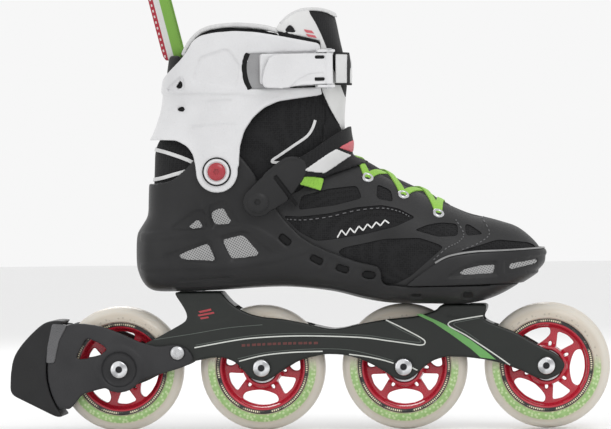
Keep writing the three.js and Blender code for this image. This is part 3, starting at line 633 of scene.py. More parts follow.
def printed_look(name, dark, light, rough=0.45):
    """Screen-printed ink, slightly uneven in tone."""
    look = new_look(name)
    at = on_piece(look)
    fine = noise(look, at, 900.0)
    shader_of(look, Base_Color=blended(look, noise(look, at, 160.0, 3.0), dark, light),
              Roughness=ranged(look, fine, 0.3, 0.7, rough - 0.06, rough + 0.08),
              Normal=bumped(look, fine, 0.00003, 0.4))
    return look


anodised = anodised_look()
outline = rounded(frame_outline, 3.0, 3)
channel = plates("channel", [outline], -channel_half, channel_half)
channel.data.transform(Matrix.Translation((0, 0, -deck * mm)))
side_walls = carved(plates("skate_frame", [outline], -frame_half, frame_half), channel)
for n in (1, 2, 3, 4):
    x = wheel_at[n - 1]
    wheel_room = rod("wheel_room", tyre_radius + tread_gap, x, axle_z, -channel_half, channel_half, 96)
    carved(side_walls, wheel_room)
    for side in (-1, 1):
        ends = span(side, tyre_half + 0.35, frame_half - 1)
        carved(side_walls, rod("boss", 6.5, x, axle_z, *ends), "UNION")
    carved(side_walls, rod("bolt_hole", 4.2, x, axle_z, -well_past, well_past))
    for side in (-1, 1):
        ends = span(side, frame_half - 0.35, frame_half + 4)
        carved(side_walls, rod("spot_face", 7.6, x, axle_z, *ends))
brake_screw_low, brake_screw_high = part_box("brake_bolt_outer")
brake_pivot = (((brake_screw_low.x + brake_screw_high.x) / 2 - drawing_x) / mm,
               (brake_screw_low.z + brake_screw_high.z) / 2 / mm)
carved(side_walls, rod("brake_screw_hole", 3.0, *brake_pivot, -well_past, well_past, 32))
# Lightening pockets pressed into the two towers, on both sides.
for side in (-1, 1):
    ends = span(side, frame_half - 0.6, frame_half + 4)
    pockets = [
        rounded([(-99.5, 94), (-98, 84), (-93, 77.5), (-76, 79), (-70.5, 84), (-80, 92), (-85, 96)], 2.5),
        rounded([(84, 86), (104, 86), (102, 80.5), (88, 79), (80, 81.5)], 2.0),
    ]
    carved(side_walls, plates("pockets", pockets, *ends))
softened(side_walls, 0.95, passes=3)
finished(side_walls, anodised, sharp=60)
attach(side_walls, "boot")
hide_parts("frame")

pinstripes = [
    [(-99, 60), (-70, 65), (-50, 67), (-20, 67.8), (20, 66.3), (40, 63.7), (55, 61.5), (63, 60.4),
     (66.3, 61.6), (64.5, 65), (50, 73), (38.6, 78.6)],
    [(-67, 50), (-50, 54), (-30, 56), (-7, 56.6)],
    [(12, 54.3), (25, 52.4), (36, 50), (43.8, 47.6)],
    [(57.2, 44.2), (60.8, 42.4)],
    [(108, 81), (95, 79), (86, 77.3), (83.2, 75.4), (85, 73), (95, 67.6), (105, 61), (115, 54.2),
     (127, 45.6)],
]
fine_lines = [
    [(-98, 61.8), (-70, 66.6), (-50, 68.8), (-20, 69.6), (20, 68.1), (40, 65.4), (55, 63.2), (62, 62.4),
     (63.4, 63), (61, 65.6), (50, 71), (40.4, 77)],
    [(-128, 66), (-100, 70), (-75, 74), (-50, 76)],
    [(-68, 51.8), (-50, 55.6), (-30, 57.6), (-7, 58.4), (12, 57.4), (30, 53.4), (43.6, 49.4)],
    [(106, 79.4), (96, 77.6), (88, 76), (88, 74), (96, 69.4), (105, 63)],
]
flash_outline = [(60.6, 82.2), (64, 82.8), (80, 75.5), (99, 63.8), (110, 55.6), (117, 49.6), (106, 51.2),
                 (99, 57.6), (85, 68), (72, 76.8)]
red_marks = [[(-96, 86), (-87, 88), (-86.4, 86.6), (-94.6, 84.8)],
             [(-97.4, 83.4), (-85, 85.6), (-84.4, 84.4), (-96.8, 82.2)],
             [(-98.8, 80.8), (-89, 82.4), (-88.4, 81.2), (-98.2, 79.6)]]
red_dashes = []
for k in range(15):
    x = -65 + 3.7 * k
    z = 60.4 + 0.055 * (x + 65) - 0.0006 * (x + 65) ** 2
    long = (2.6, 2.1, 2.9)[k % 3]
    red_dashes.append([(x, z), (x + long, z + 0.12), (x + long, z + 1.9), (x, z + 1.78)])

stripe_ink = printed_look("pale_ink", (0.58, 0.60, 0.56), (0.74, 0.76, 0.72))
dim_ink = printed_look("grey_ink", (0.070, 0.085, 0.075), (0.12, 0.14, 0.125))
green_ink = printed_look("green_ink", (0.115, 0.33, 0.085), (0.16, 0.42, 0.12), 0.38)
red_ink = printed_look("red_ink", (0.36, 0.035, 0.045), (0.46, 0.055, 0.065))
dull_red_ink = printed_look("dull_red_ink", (0.085, 0.022, 0.020), (0.15, 0.035, 0.03))
prints = [  # name, outlines, ink and how far the ink stands out of the side wall
    ("pinstripes", [band(curve_through(line), (0.85, 0.85)) for line in pinstripes], stripe_ink, 0.22),
    ("fine_stripes", [band(curve_through(line), (0.42, 0.42)) for line in fine_lines], dim_ink, 0.18),
    ("green_flash", [flash_outline], green_ink, 0.16),
    ("red_bars", red_marks, red_ink, -0.42),
    ("red_dashes", red_dashes, dull_red_ink, 0.14),
]
for side, side_name in ((-1, "outer"), (1, "inner")):
    for name, outlines, ink, proud in prints:
        ends = span(side, frame_half - 0.9, frame_half + proud)
        stripe = plates(f"{name}_{side_name}", outlines, *ends)
        finished(stripe, ink)
        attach(stripe, "boot")

bright_steel = brushed_steel("bright_steel", tint=0.6, rough=0.26)
dressed("frame_bolt_rear", bright_steel)
dressed("frame_bolt_front", bright_steel)

# ------------------------------------------------------------------ heel brake
# A fork of textured grey nylon takes the rear axle bolt and a screw on each side. Its curved bridge
# carries a block of black rubber, worn flat by the ground, held by one screw from behind. A flush patch
# of lighter, glossier grey lies in the block's shoulder on each side.
arm_inner = frame_half + 0.35
arm_outer = arm_inner + 4.0
pad_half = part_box("brake_pad")[1].y / mm
heel_x = wheel_at[0]
fork_outline = [
    (-187, 78.5), (-176, 78), (-165, 76), (-150, 70.2), (-138, 64.5), (-125, 61), (-111, 62.8), (-103, 59),
    (-99.5, 53), (-100.5, 49.5), (-106, 46.5), (-125, 41), (-140, 36), (-150, 33.2), (-165, 31.5),
    (-180, 27.5), (-184, 22), (-190.2, 15.4), (-195, 20), (-199, 30), (-203.5, 45), (-203, 60), (-196, 74),
]
fork_window = [(-176.5, 68), (-184.5, 52.5), (-176, 53), (-159.5, 57.5), (-166, 63.5)]
pad_outline = [
    (-194, 81), (-205, 80), (-212, 75), (-222, 65), (-229, 55), (-231.2, 44), (-232, 28), (-196, 10),
    (-186, 16), (-184, 30), (-190, 45), (-184, 66), (-180, 75),
]
shoulder_outline = [(-201, 78.6), (-190, 77.4), (-196, 66), (-199.6, 50), (-205.6, 50), (-204.6, 62)]


def moulded_look(name, dark, light, rough=0.5, grain=1300.0, depth=0.00012, coat=0.0):
    """Moulded plastic or rubber with a fine spark-eroded grain and slow changes of tone."""
    look = new_look(name)
    at = on_piece(look)
    fine = noise(look, at, grain, 3.0)
    tone = maths(look, "ADD", maths(look, "MULTIPLY", noise(look, at, 30.0, 4.0), 0.75),
                  maths(look, "MULTIPLY", fine, 0.25))
    shader_of(look, Specular_IOR_Level=0.5 if light[0] > 0.05 else 0.26,
              Base_Color=blended(look, ranged(look, tone, 0.3, 0.7), dark, light),
              Roughness=ranged(look, fine, 0.3, 0.7, rough - 0.07, rough + 0.09), Coat_Weight=coat,
              Coat_Roughness=0.3, Normal=bumped(look, fine, depth, 0.5))
    return look


fork_grey = moulded_look("fork_nylon", (0.024, 0.024, 0.0255), (0.042, 0.042, 0.044), rough=0.44)
pad_black = moulded_look("brake_rubber", (0.0125, 0.0125, 0.013), (0.024, 0.024, 0.025), rough=0.52,
                         grain=800.0)
shoulder_light_grey = moulded_look("shoulder_light_grey", (0.055, 0.055, 0.058), (0.12, 0.12, 0.125), rough=0.3,
                              coat=0.4)

fork = plates("brake_fork", [rounded(fork_outline, 4.0)], -arm_outer, arm_outer)
carved(fork, plates("fork_gap", [[(-260, -20), (-60, -20), (-60, 120), (-260, 120)]], -arm_inner, arm_inner))
bridge = rod("bridge", tyre_radius + 7, heel_x, axle_z, -arm_outer, arm_outer, 128)
carved(bridge, rod("bridge_bore", tyre_radius + 2, heel_x, axle_z, -well_past, well_past, 128))
bridge_side = [(heel_x - 90, axle_z - 40), (heel_x - 38, axle_z - 27), (heel_x - 34, axle_z),
               (heel_x - 38, axle_z + 31), (heel_x - 90, axle_z + 50)]
carved(bridge, plates("bridge_side", [bridge_side], -well_past, well_past), "INTERSECT")
carved(fork, bridge, "UNION")
carved(fork, plates("fork_window", [rounded(fork_window, 2.5)], -well_past, well_past))
carved(fork, rod("axle_hole", 4.2, heel_x, axle_z, -well_past, well_past, 48))
carved(fork, rod("brake_screw_hole", 3.0, *brake_pivot, -well_past, well_past, 32))
for side in (-1, 1):
    ends = span(side, arm_outer - 1.3, arm_outer + 5)
    carved(fork, rod("axle_recess", 12.5, heel_x, axle_z, *ends))
    ends = span(side, arm_outer - 1.5, arm_outer + 1.0)
    collar = rod("axle_collar", 16.6, heel_x, axle_z, *ends)
    carved(collar, rod("collar_bore", 12.5, heel_x, axle_z, -well_past, well_past))
    carved(fork, collar, "UNION")
    ends = span(side, arm_outer - 1.0, arm_outer + 5)
    carved(fork, rod("screw_recess", 6.3, *brake_pivot, *ends))
screw_low, screw_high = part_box("brake_pad_screw")
pad_screw_z = (screw_low.z + screw_high.z) / 2 / mm


def rod_along_x(name, radius, z, x0, x1):
    """A rod along X in the middle plane."""
    shape = bmesh.new()
    bmesh.ops.create_cone(shape, cap_ends=True, segments=32, radius1=radius * mm, radius2=radius * mm,
                          depth=(x1 - x0) * mm)
    bmesh.ops.rotate(shape, verts=shape.verts, cent=(0, 0, 0), matrix=Matrix.Rotation(math.pi / 2, 3, "Y"))
    bmesh.ops.translate(shape, verts=shape.verts, vec=spot((x0 + x1) / 2, 0, z))
    return made(name, shape)


carved(fork, rod_along_x("pad_screw_hole", 3.5, pad_screw_z, heel_x - 90, heel_x - 40))
softened(fork, 0.95, passes=4)
finished(fork, fork_grey, sharp=60)
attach(fork, "boot")
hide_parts("brake_housing")

pad = plates("brake_block", [rounded(pad_outline, 5.0)], -pad_half, pad_half)
carved(pad, rod("bridge_room", tyre_radius + 7.7, heel_x, axle_z, -well_past, well_past, 128))
carved(pad, rod_along_x("screw_way", 3.6, pad_screw_z, heel_x - 95, heel_x - 40))
carved(pad, rod_along_x("screw_pocket", 6.4, pad_screw_z, heel_x - 95, heel_x - 68.6))
for side in (-1, 1):
    ends = span(side, pad_half - 0.9, pad_half + 4)
    carved(pad, plates("shoulder_room", [shoulder_outline], *ends))
softened(pad, 1.0, passes=7)
finished(pad, pad_black, sharp=60)
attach(pad, "boot")
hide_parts("brake_pad")
for side, side_name in ((-1, "outer"), (1, "inner")):
    ends = span(side, pad_half - 1.6, pad_half - 0.1)
    shoulder = plates(f"block_light_patch_{side_name}", [rounded(shoulder_outline, 1.5)], *ends)
    softened(shoulder, 0.45, passes=5)
    finished(shoulder, shoulder_light_grey, sharp=60)
    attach(shoulder, "boot")
dressed("brake_pad_screw", bright_steel)

screw_profile = [(0.0, 2.3), (2.4, 2.3), (3.9, 2.0), (4.8, 1.2), (5.0, 0.3), (4.9, 0.0), (2.7, 0.0),
                 (2.7, -7.2), (0, -7.2)]
for side, side_name in ((-1, "outer"), (1, "inner")):
    seat = arm_outer - 0.8
    screw = turned(f"brake_screw_{side_name}", [(r, side * (seat + y)) for r, y in screw_profile],
                   *brake_pivot, 48)
    hexagon = around_at(*brake_pivot, hexagon_of(1.9))
    carved(screw, plates("socket", [hexagon], *span(side, seat + 0.7, seat + 4)))
    finished(screw, bright_steel)
    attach(screw, "boot")
    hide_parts(f"brake_bolt_{side_name}")

# ------------------------------------------------------------------ boot shell
# The lower shell is one moulding of matt black plastic that cups the heel, runs forward as a low side
# wall and ends as a sole plate under the toes. Bevelled pockets with cross ribs frame its four mesh
# windows on each side, and four slots lie in the side wall. Two bolts hold it to the frame.
foot_rows = [  # the boot's foot form along x: x, half width, underside, top
    (-141, 9, 118, 142), (-137, 20, 108, 148), (-129, 30, 101, 158), (-110, 36, 100.3, 172),
    (-80, 37, 101, 184), (-35, 37, 103, 193), (0, 41, 99.5, 196), (22, 44, 94, 192), (42, 47, 90.6, 181),
    (70, 49, 89.8, 168), (98, 47, 89.8, 155), (118, 42, 95, 150), (136, 32, 105, 143),
    (148, 19, 113, 133), (153, 8, 119, 126),
]
leg_rows = [  # its leg form rising along z: z, back, front, half width
    (140, -134, -30, 40), (152, -136, -15, 42), (165, -136, -2, 44), (186, -135, 8, 46),
    (203, -134, 14.5, 45), (214, -128, 13, 44), (232, -122, 13.5, 43.5), (248, -120.5, 15.4, 45),
    (262, -118, 14.5, 46.5), (280, -116, 11, 48), (297, -115, 8, 49), (312, -115, 2, 49),
]
shell_leg = 3.9
shell_wall = 2.9
ring_points = 72
far = 90


def eased_rows(rows, steps=4):
    """The rows with smooth ones between them."""
    columns = list(zip(*rows))
    spaced = [curve_through([(k, value) for k, value in enumerate(column)], steps) for column in columns]
    return [[column[k][1] for column in spaced] for k in range(len(spaced[0]))]


def kept_sign(value, power):
    """A power of a value's size, with the value's sign."""
    return math.copysign(abs(value) ** power, value)


def lofted(name, rings):
    """Rings of points bridged into a closed body."""
    shape = bmesh.new()
    loops = []
    for ring in rings:
        points = [shape.verts.new(spot(*point)) for point in ring]
        loops.append([shape.edges.new((points[k - 1], points[k])) for k in range(len(points))])
    for lower, upper in zip(loops, loops[1:]):
        bmesh.ops.bridge_loops(shape, edges=lower + upper)
    for end in (loops[0], loops[-1]):
        bmesh.ops.contextual_create(shape, geom=end)
    bmesh.ops.recalc_face_normals(shape, faces=shape.faces)
    return made(name, shape)


def foot_form(side, top=None):
    """The foot's form, smaller by a distance at the sides and underside and by another on top."""
    top = side if top is None else top
    middle = (foot_rows[0][0] + foot_rows[-1][0]) / 2
    shrink = 1 - 2 * side / (foot_rows[-1][0] - foot_rows[0][0])
    rings = []
    for x, half, low, high in eased_rows(foot_rows):
        waist = low + 0.36 * (high - low)
        floor_z = min(low + side, waist - 0.5)
        roof_z = max(high - top, waist + 0.5)
        ring = []
        for k in range(ring_points):
            turn = 2 * math.pi * (k + 0.5) / ring_points
            up = math.sin(turn)
            y = max(half - side, 1) * kept_sign(math.cos(turn), 0.85 if up > 0 else 0.6)
            if up > 0:
                z = waist + (roof_z - waist) * kept_sign(up, 0.9)
            else:
                z = waist + (waist - floor_z) * kept_sign(up, 0.65)
            ring.append((middle + (x - middle) * shrink, y, z))
        rings.append(ring)
    return lofted("foot_form", rings)


def leg_form(inset):
    """The leg's form, smaller by a distance all round."""
    rings = []
    for z, back, front, half in eased_rows(leg_rows):
        ring = []
        for k in range(ring_points):
            turn = 2 * math.pi * (k + 0.5) / ring_points
            x = (back + front) / 2 + ((front - back) / 2 - inset) * kept_sign(math.cos(turn), 0.76)
            ring.append((x, (half - inset) * kept_sign(math.sin(turn), 0.76), z))
        rings.append(ring)
    return lofted("leg_form", rings)


def boot_form(name, side, leg_inset, top=None):
    """The foot and leg forms joined, with the bend between them rounded out."""
    return softened(joined(name, [foot_form(side, top), leg_form(leg_inset)]), 2.2, passes=10)


def grown(form, name, distance):
    """A copy of a form moved outward, or inward below zero."""
    twin = copied(form, name)
    swell = twin.modifiers.new("swell", "DISPLACE")
    swell.mid_level = 0.0
    swell.strength = distance * mm
    return settled(twin)


def skin_of(form, name, outer, inner, outlines, side=0, softer=None):
    """The part of a form's skin, between two depths, that lies inside side-view outlines."""
    skin = grown(form, name, outer)
    ends = (-far, far) if side == 0 else span(side, 0, far)
    window = plates("window", outlines, *ends)
    carved(skin, window, "INTERSECT")
    carved(skin, grown(form, "core", inner))
    if softer:
        softened(skin, *softer)
    return skin


def above(form, depth, outlines, side=0):
    """A cutter that takes a form's skin away down to a depth, inside side-view outlines."""
    return skin_of(form, "cutter", 6, -depth, outlines, side)


shell_outline = [
    (-160, 80), (160, 80), (160, 104.4), (60, 102.4), (37.5, 104.6), (37.5, 113), (36, 117), (30, 119),
    (20, 121), (0, 128.5), (-12, 134), (-20, 139), (-30, 149), (-38, 158), (-45, 171), (-55, 188),
    (-64, 199), (-79, 203), (-92, 199), (-102, 188), (-112, 180), (-124, 178), (-160, 177.5),
]
shell_windows = [
    [(-101, 146), (-93, 152), (-90.5, 146.2)],
    [(-84, 156.5), (-76, 160), (-70, 149.7), (-81, 148.5)],
    [(-108, 126.5), (-87, 134), (-82, 123), (-104, 124.3)],
    [(-76, 136.5), (-62, 140), (-50, 126.2), (-70, 124.4)],
]
shell_pockets = [
    [(-116, 145), (-94, 160), (-88.5, 158), (-87, 144.5)],
    [(-86, 162), (-74, 166), (-62, 147.5), (-84, 146)],
    [(-122, 125.5), (-108, 131), (-85, 138), (-79, 120.5), (-108, 122)],
    [(-79, 139.5), (-60, 144), (-38, 127), (-70, 121.5)],
]
side_slots = [(-31.5, 137, -40), (-9, 122.5, -27), (9.5, 116, -17), (28.5, 111.5, -3)]


def turned_slot(x, z, tilt, length=9.4, height=4.8):
    """The outline of a slot round a point, tilted by an angle in degrees."""
    turn = math.radians(tilt)
    half, rise = length / 2, height / 2
    corners = [(-half, -rise), (half, -rise), (half, rise), (-half, rise)]
    return [(x + a * math.cos(turn) - b * math.sin(turn), z + a * math.sin(turn) + b * math.cos(turn))
            for a, b in corners]


shell_form = boot_form("shell_form", 0, shell_leg)
shell = skin_of(shell_form, "boot_shell_moulding", 0, -shell_wall, [rounded(shell_outline, 4.0)])
raised_bands = [
    band(curve_through([(-41, 163), (-36.5, 155), (-29, 146), (-19, 136.4), (0, 126.2), (20, 118.8),
                        (35, 116.2)]), (3.4, 2.6)),
    band(curve_through([(-137, 140), (-110, 141.5), (-86, 142.2), (-60, 145.5), (-44, 139), (-30, 128)]),
         (5.0, 3.0)),
    band(curve_through([(-137, 118), (-108, 119), (-76, 118.5), (-50, 121.5), (-30, 125.5), (-12, 131)]),
         (4.0, 2.6)),
    band(curve_through([(-88, 163), (-86, 148), (-83, 134), (-78, 119)]), (4.6, 3.6)),
    band([(-6.5, 115), (-4.5, 119), (0.5, 126)], (1.8, 1.8)),
    band([(12.5, 111), (15, 114.5), (19.5, 120)], (1.8, 1.8)),
    band([(-112, 102.6), (-80, 103.6), (-35, 105.4), (0, 102.4), (24, 96.8), (44, 93.4)], (2.4, 2.0)),
]
for outline in raised_bands:
    carved(shell, skin_of(shell_form, "rib", 0.75, -1.2, [rounded(outline, 1.0, 2)]), "UNION")
carved(shell, above(shell_form, 1.35, [rounded(outline, 2.5) for outline in shell_pockets]))
heel_groove = rounded([(-109, 107.5), (-72, 108), (-66, 110.5), (-72, 111), (-109, 109.2)], 0.8)
carved(shell, above(shell_form, 0.9, [heel_groove]))
sole_slots = [
    rounded([(57, 94), (66, 94), (66, 97.5), (57, 97.5)], 1.0),
    rounded([(94, 93), (103, 93), (103, 99), (94, 99)], 1.2),
]
carved(shell, above(shell_form, 1.4, sole_slots))
through = [rounded(outline, 1.2) for outline in shell_windows]
through += [rounded(turned_slot(*slot), 1.4) for slot in side_slots]
carved(shell, plates("shell_openings", through, -far, far))
for x, z in ((-96, 100), (94.5, 90)):
    hole = turned("mount_hole", [(0, -6), (4.4, -6), (4.4, 6), (0, 6)], 0, 0, 32)
    hole.data.transform(Matrix.Translation(spot(x, 0, z)) @ Matrix.Rotation(math.pi / 2, 4, "X")
                        @ Matrix.Translation(-spot(0, 0, 0)))
    carved(shell, hole)
softened(shell, 1.15, passes=3)
shell_black = moulded_look("shell_plastic", (0.0145, 0.0145, 0.0152), (0.026, 0.026, 0.027), rough=0.42,
                           grain=1500.0)
finished(shell, shell_black, sharp=60)
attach(shell, "boot")
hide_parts("boot_shell")
# Near-black plastic, mostly for painted shade: sheets set in slots, gaps, vents and a groove so they read
# dark. It also makes the strap's black edging.
shade_and_trim_black = moulded_look("shade_and_trim_black", (0.003, 0.003, 0.0033), (0.008, 0.008, 0.0085), rough=0.7)
# Near-black sheets under the side slots and in the sole pockets are painted shade, so the openings read
# dark.
side_shade_outlines = [rounded(turned_slot(*slot, 8.8, 4.2), 1.4) for slot in side_slots]
sole_shade_outlines = [
    rounded([(57.6, 94.4), (65.4, 94.4), (65.4, 97.1), (57.6, 97.1)], 0.8),
    rounded([(94.6, 93.6), (102.4, 93.6), (102.4, 98.4), (94.6, 98.4)], 0.8),
]
for name, outer, inner, outlines in (("side_slot_shade", -1.3, -2.5, side_shade_outlines),
                                     ("sole_slot_shade", -1.0, -2.4, sole_shade_outlines)):
    opening_shade = skin_of(shell_form, name, outer, inner, outlines)
    finished(opening_shade, shade_and_trim_black)
    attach(opening_shade, "boot")


def mesh_look(name, dark, light, pitch, lean, rough=0.6):
    """Woven mesh seen from the side: two sets of threads that cross, with dark holes between."""
    look = new_look(name)
    at = on_piece(look, turn=(0, math.radians(lean), 0))
    waves_per_scale = 3.18  # a band pattern repeats this often in a metre at a scale of 1
    scale = 1 / (pitch * mm) / waves_per_scale
    warp, weft = (node(look, "TexWave", {"Vector": at, "Scale": scale, "Distortion": 0.6},
                       wave_type="BANDS", bands_direction=way).outputs["Fac"] for way in "XZ")
    threads = maths(look, "MAXIMUM", warp, weft)
    cover = ranged(look, threads, 0.45, 0.8)
    colour = blended(look, noise(look, at, 300.0), light, tuple(0.82 * c for c in light))
    shader_of(look, Base_Color=blended(look, cover, dark, colour),
              Roughness=ranged(look, noise(look, at, 800.0), 0.3, 0.7, rough - 0.05, rough + 0.1),
              Normal=bumped(look, threads, 0.0003, 0.6))
    return look


vent_mesh = mesh_look("silver_mesh", (0.10, 0.10, 0.10), (0.42, 0.42, 0.42), pitch=1.5, lean=30.0)
vent_backing = [
    [(-106, 143), (-93, 156), (-87.5, 155), (-87.5, 143)],
    [(-87.3, 160), (-75, 163.5), (-66, 147), (-87.3, 145.6)],
    [(-113, 124), (-86, 137.4), (-80.6, 137), (-78.6, 121), (-106, 121.6)],
    [(-78.4, 139), (-61, 143.2), (-45, 124), (-72, 121.6)],
]
for side, side_name in ((-1, "outer"), (1, "inner")):
    vents = skin_of(shell_form, f"shell_vent_mesh_{side_name}", -1.75, -2.45, vent_backing, side)
    finished(vents, vent_mesh, sharp=50)
    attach(vents, "boot")

# ------------------------------------------------------------------ toe bumper
# A wrap-round toe guard of the same plastic, with a pale piping along its upper edge and two long mesh
# windows on each side. It stands a millimetre proud of the vamp and is glued and stitched to it.
bumper_outline = [
    (55, 103.4), (65, 111.5), (75, 118.3), (82, 122.4), (90, 124.8), (105, 126.8), (125, 127.4),
    (149, 128.4), (175, 129), (175, 105), (60, 103),
]
bumper_windows = [
    [(91, 111.3), (97, 114.8), (107, 117), (118, 117.9), (116.4, 111.8)],
    [(127.5, 114.3), (128.6, 118.2), (140, 119.8), (148.5, 121.4), (146.5, 118.4)],
]
bumper_pockets = [
    [(83, 108.5), (92, 115.4), (106, 120.2), (120.4, 120.6), (120.4, 109.4)],
    [(124.4, 110.6), (124.4, 121.2), (140, 122.8), (156, 125), (156, 112)],
]
bumper = skin_of(shell_form, "toe_guard", 1.0, -2.2, [rounded(bumper_outline, 1.5)])
carved(bumper, above(shell_form, 0.35, [rounded(outline, 2.0) for outline in bumper_pockets]))
carved(bumper, plates("bumper_openings", [rounded(outline, 1.0) for outline in bumper_windows], -far, far))
softened(bumper, 0.9, passes=3)
finished(bumper, shell_black, sharp=60)
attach(bumper, "boot")
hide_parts("toe_bumper")
for side, side_name in ((-1, "outer"), (1, "inner")):
    toe_mesh = skin_of(shell_form, f"toe_vent_mesh_{side_name}", -1.0, -1.7, [
        [(88, 109), (96, 117), (107, 119), (120, 120), (119, 109.6)],
        [(125.4, 112), (125.4, 120), (140, 121.6), (151, 123), (148.6, 115)],
    ], side)
    finished(toe_mesh, vent_mesh, sharp=50)
    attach(toe_mesh, "boot")
piping_line = curve_through([(76, 119.6), (83, 123.4), (91, 125.6), (105, 127.4), (125, 128.0),
                             (149, 129.0), (165, 129.4)])
piping = skin_of(shell_form, "toe_piping", 1.15, -0.6, [band(piping_line, (1.3, 1.0))])
silver_piping = printed_look("silver_piping", (0.17, 0.17, 0.17), (0.30, 0.30, 0.30), 0.35)
finished(piping, silver_piping, sharp=50)
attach(piping, "boot")

# ------------------------------------------------------------------ upper
# The upper is sewn from black air mesh with thin overlays of charcoal synthetic leather bonded over
# it, which leave panels of mesh showing. It is open along the throat, where the laces cross.
upper_outline = [
    (-160, 90), (160, 90), (160, 170), (60, 210), (14, 204), (7, 206), (6, 217), (-1, 231), (-7, 243),
    (-12, 246), (-84, 246), (-96, 216), (-160, 216),
]
throat_half, throat_end = 13.0, 84
tongue_half = 24.4


def knit_look(name, dark, light, cell=1.5, sheen=0.08, bends=False):
    """Air mesh: a honeycomb of fine knitted cells that reads the same from every side."""
    look = new_look(name)
    at = on_piece(look, bends=bends)
    cells = node(look, "TexVoronoi", {"Vector": at, "Scale": 1 / (cell * mm), "Randomness": 0.35},
                 feature="F1").outputs["Distance"]
    yarn = noise(look, at, 2600.0, 2.0)
    lift = ranged(look, cells, 0.1, 0.6)
    tone = maths(look, "ADD", maths(look, "MULTIPLY", lift, 0.6), maths(look, "MULTIPLY", yarn, 0.4))
    shade = maths(look, "MULTIPLY", tone, ranged(look, noise(look, at, 24.0, 4.0), 0.25, 0.75, 0.75, 1.15))
    shader_of(look, Specular_IOR_Level=0.5 if light[0] > 0.05 else 0.16,
              Base_Color=blended(look, ranged(look, shade, 0.1, 0.9), dark, light),
              Roughness=ranged(look, yarn, 0.3, 0.7, 0.78, 0.94), Sheen_Weight=sheen, Sheen_Roughness=0.5,
              Normal=bumped(look, lift, 0.00022, 0.55))
    return look


upper_form = boot_form("upper_form", 3.3, 7.5, top=0.0)
upper = skin_of(upper_form, "mesh_upper", 0, -2.0, [upper_outline])
throat_outline = [(-30, 150), (throat_end, 140), (throat_end, 240), (-30, 240)]
carved(upper, plates("throat", [throat_outline], -throat_half, throat_half))
tongue_room = [(-8, 183), (5, 183), (8, 191.5), (40, 191.5), (40, 215), (-8, 215)]
carved(upper, plates("tongue_room", [tongue_room], -tongue_half, tongue_half))
softened(upper, 1.45, passes=2)
air_mesh = knit_look("black_air_mesh", (0.005, 0.005, 0.0054), (0.021, 0.021, 0.022))
finished(upper, air_mesh, sharp=60)
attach(upper, "boot")
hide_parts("upper")

overlay_outline = [
    (-45, 100), (-45, 160), (-36, 166), (-20, 172), (-8, 186), (10, 190), (24, 188.6), (38, 182),
    (55, 173.6), (75, 164), (88, 158), (100, 152.5), (115, 149.8), (130, 145.4), (141, 139.6), (152, 130),
    (160, 120), (160, 95), (38, 95),
]
mesh_panels = [
    [(-33, 154), (-20, 153.4), (0, 155.4), (20, 159.6), (38, 161), (50, 158.4), (62, 152), (48, 145.6),
     (26, 140.4), (0, 136.6), (-9, 135.8), (-21, 142)],
    [(6, 127.6), (10, 131), (40, 137), (65, 137.5), (78, 133), (82, 130.6), (72, 122), (58, 110), (48, 105),
     (38.5, 104)],
    [(61, 143), (70, 146.6), (80, 148.2), (91.5, 147), (92, 138.4), (78, 138)],
    [(96.5, 146.6), (100, 146.4), (110, 139.4), (97.5, 138.4)],
    [(93, 127.5), (120, 135.6), (142, 133), (147, 129.4), (125, 128.6), (105, 128)],
    [(-20, 168), (0, 173), (20, 175), (24, 166), (4, 161), (-22, 158)],
    [(34, 176), (44, 171.4), (46, 163), (34, 165.6)],
]
leather_seams = [
    [(-30, 151.6), (-18, 151), (0, 153), (20, 157.4), (38, 158.8), (50, 156.4), (58, 152.4)],
    [(90, 150), (96, 140), (92, 134), (84, 130), (74, 121)],
    [(108, 151.6), (114, 140), (106, 133), (94, 128.4)],
]


def leather_look(name, dark, light, rough=0.46):
    """Synthetic leather: a shallow pebbled grain and a soft shine."""
    look = new_look(name)
    at = on_piece(look)
    pebbles = node(look, "TexVoronoi", {"Vector": at, "Scale": 900.0, "Randomness": 1.0}).outputs["Distance"]
    cloud = noise(look, at, 28.0, 4.0)
    shader_of(look, Specular_IOR_Level=0.5 if light[0] > 0.05 else 0.26,
              Base_Color=blended(look, ranged(look, cloud, 0.3, 0.7), dark, light),
              Roughness=ranged(look, pebbles, 0.1, 0.6, rough - 0.07, rough + 0.1),
              Normal=bumped(look, pebbles, 0.00012, 0.4))
    return look


overlay_leather = leather_look("charcoal_leather", (0.019, 0.019, 0.0197), (0.031, 0.031, 0.032))
stitch_thread = printed_look("charcoal_thread", (0.085, 0.085, 0.087), (0.14, 0.14, 0.145), 0.7)
for side, side_name in ((-1, "outer"), (1, "inner")):
    overlay = skin_of(upper_form, f"leather_overlay_{side_name}", 0.8, -0.3,
                      [rounded(overlay_outline, 3.0)], side)
    carved(overlay, plates("panels", [rounded(outline, 3.0) for outline in mesh_panels], -far, far))
    carved(overlay, plates("throat", [throat_outline], -throat_half - 1.5, throat_half + 1.5))
    finished(overlay, overlay_leather, sharp=50)
    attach(overlay, "boot")
    stitches = []
    for line in leather_seams:
        path = curve_through(line, 8)
        for k in range(0, len(path) - 1, 2):
            stitches.append(band([path[k], path[k + 1]], (0.7, 0.7)))
    seam = skin_of(upper_form, f"overlay_stitches_{side_name}", 1.1, 0.5, stitches, side)
    finished(seam, stitch_thread)
    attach(seam, "boot")

# A plain zigzag of white stitching decorates the long mesh panel on each side.
zigzag = []
for k in range(13):
    zigzag.append((6 + 3.1 * k, 140.5 + 0.75 * k + (2.3 if k % 2 else -2.3) * (1 - 0.03 * k)))
zigzag_stitches = [band(ends, (0.95, 0.95)) for ends in zip(zigzag, zigzag[1:])]
white_thread = printed_look("white_thread", (0.66, 0.66, 0.65), (0.84, 0.84, 0.83), 0.6)
for side, side_name in ((-1, "outer"), (1, "inner")):
    motif = skin_of(upper_form, f"zigzag_stitch_{side_name}", 0.35, -0.3, zigzag_stitches, side)
    finished(motif, white_thread)
    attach(motif, "boot")

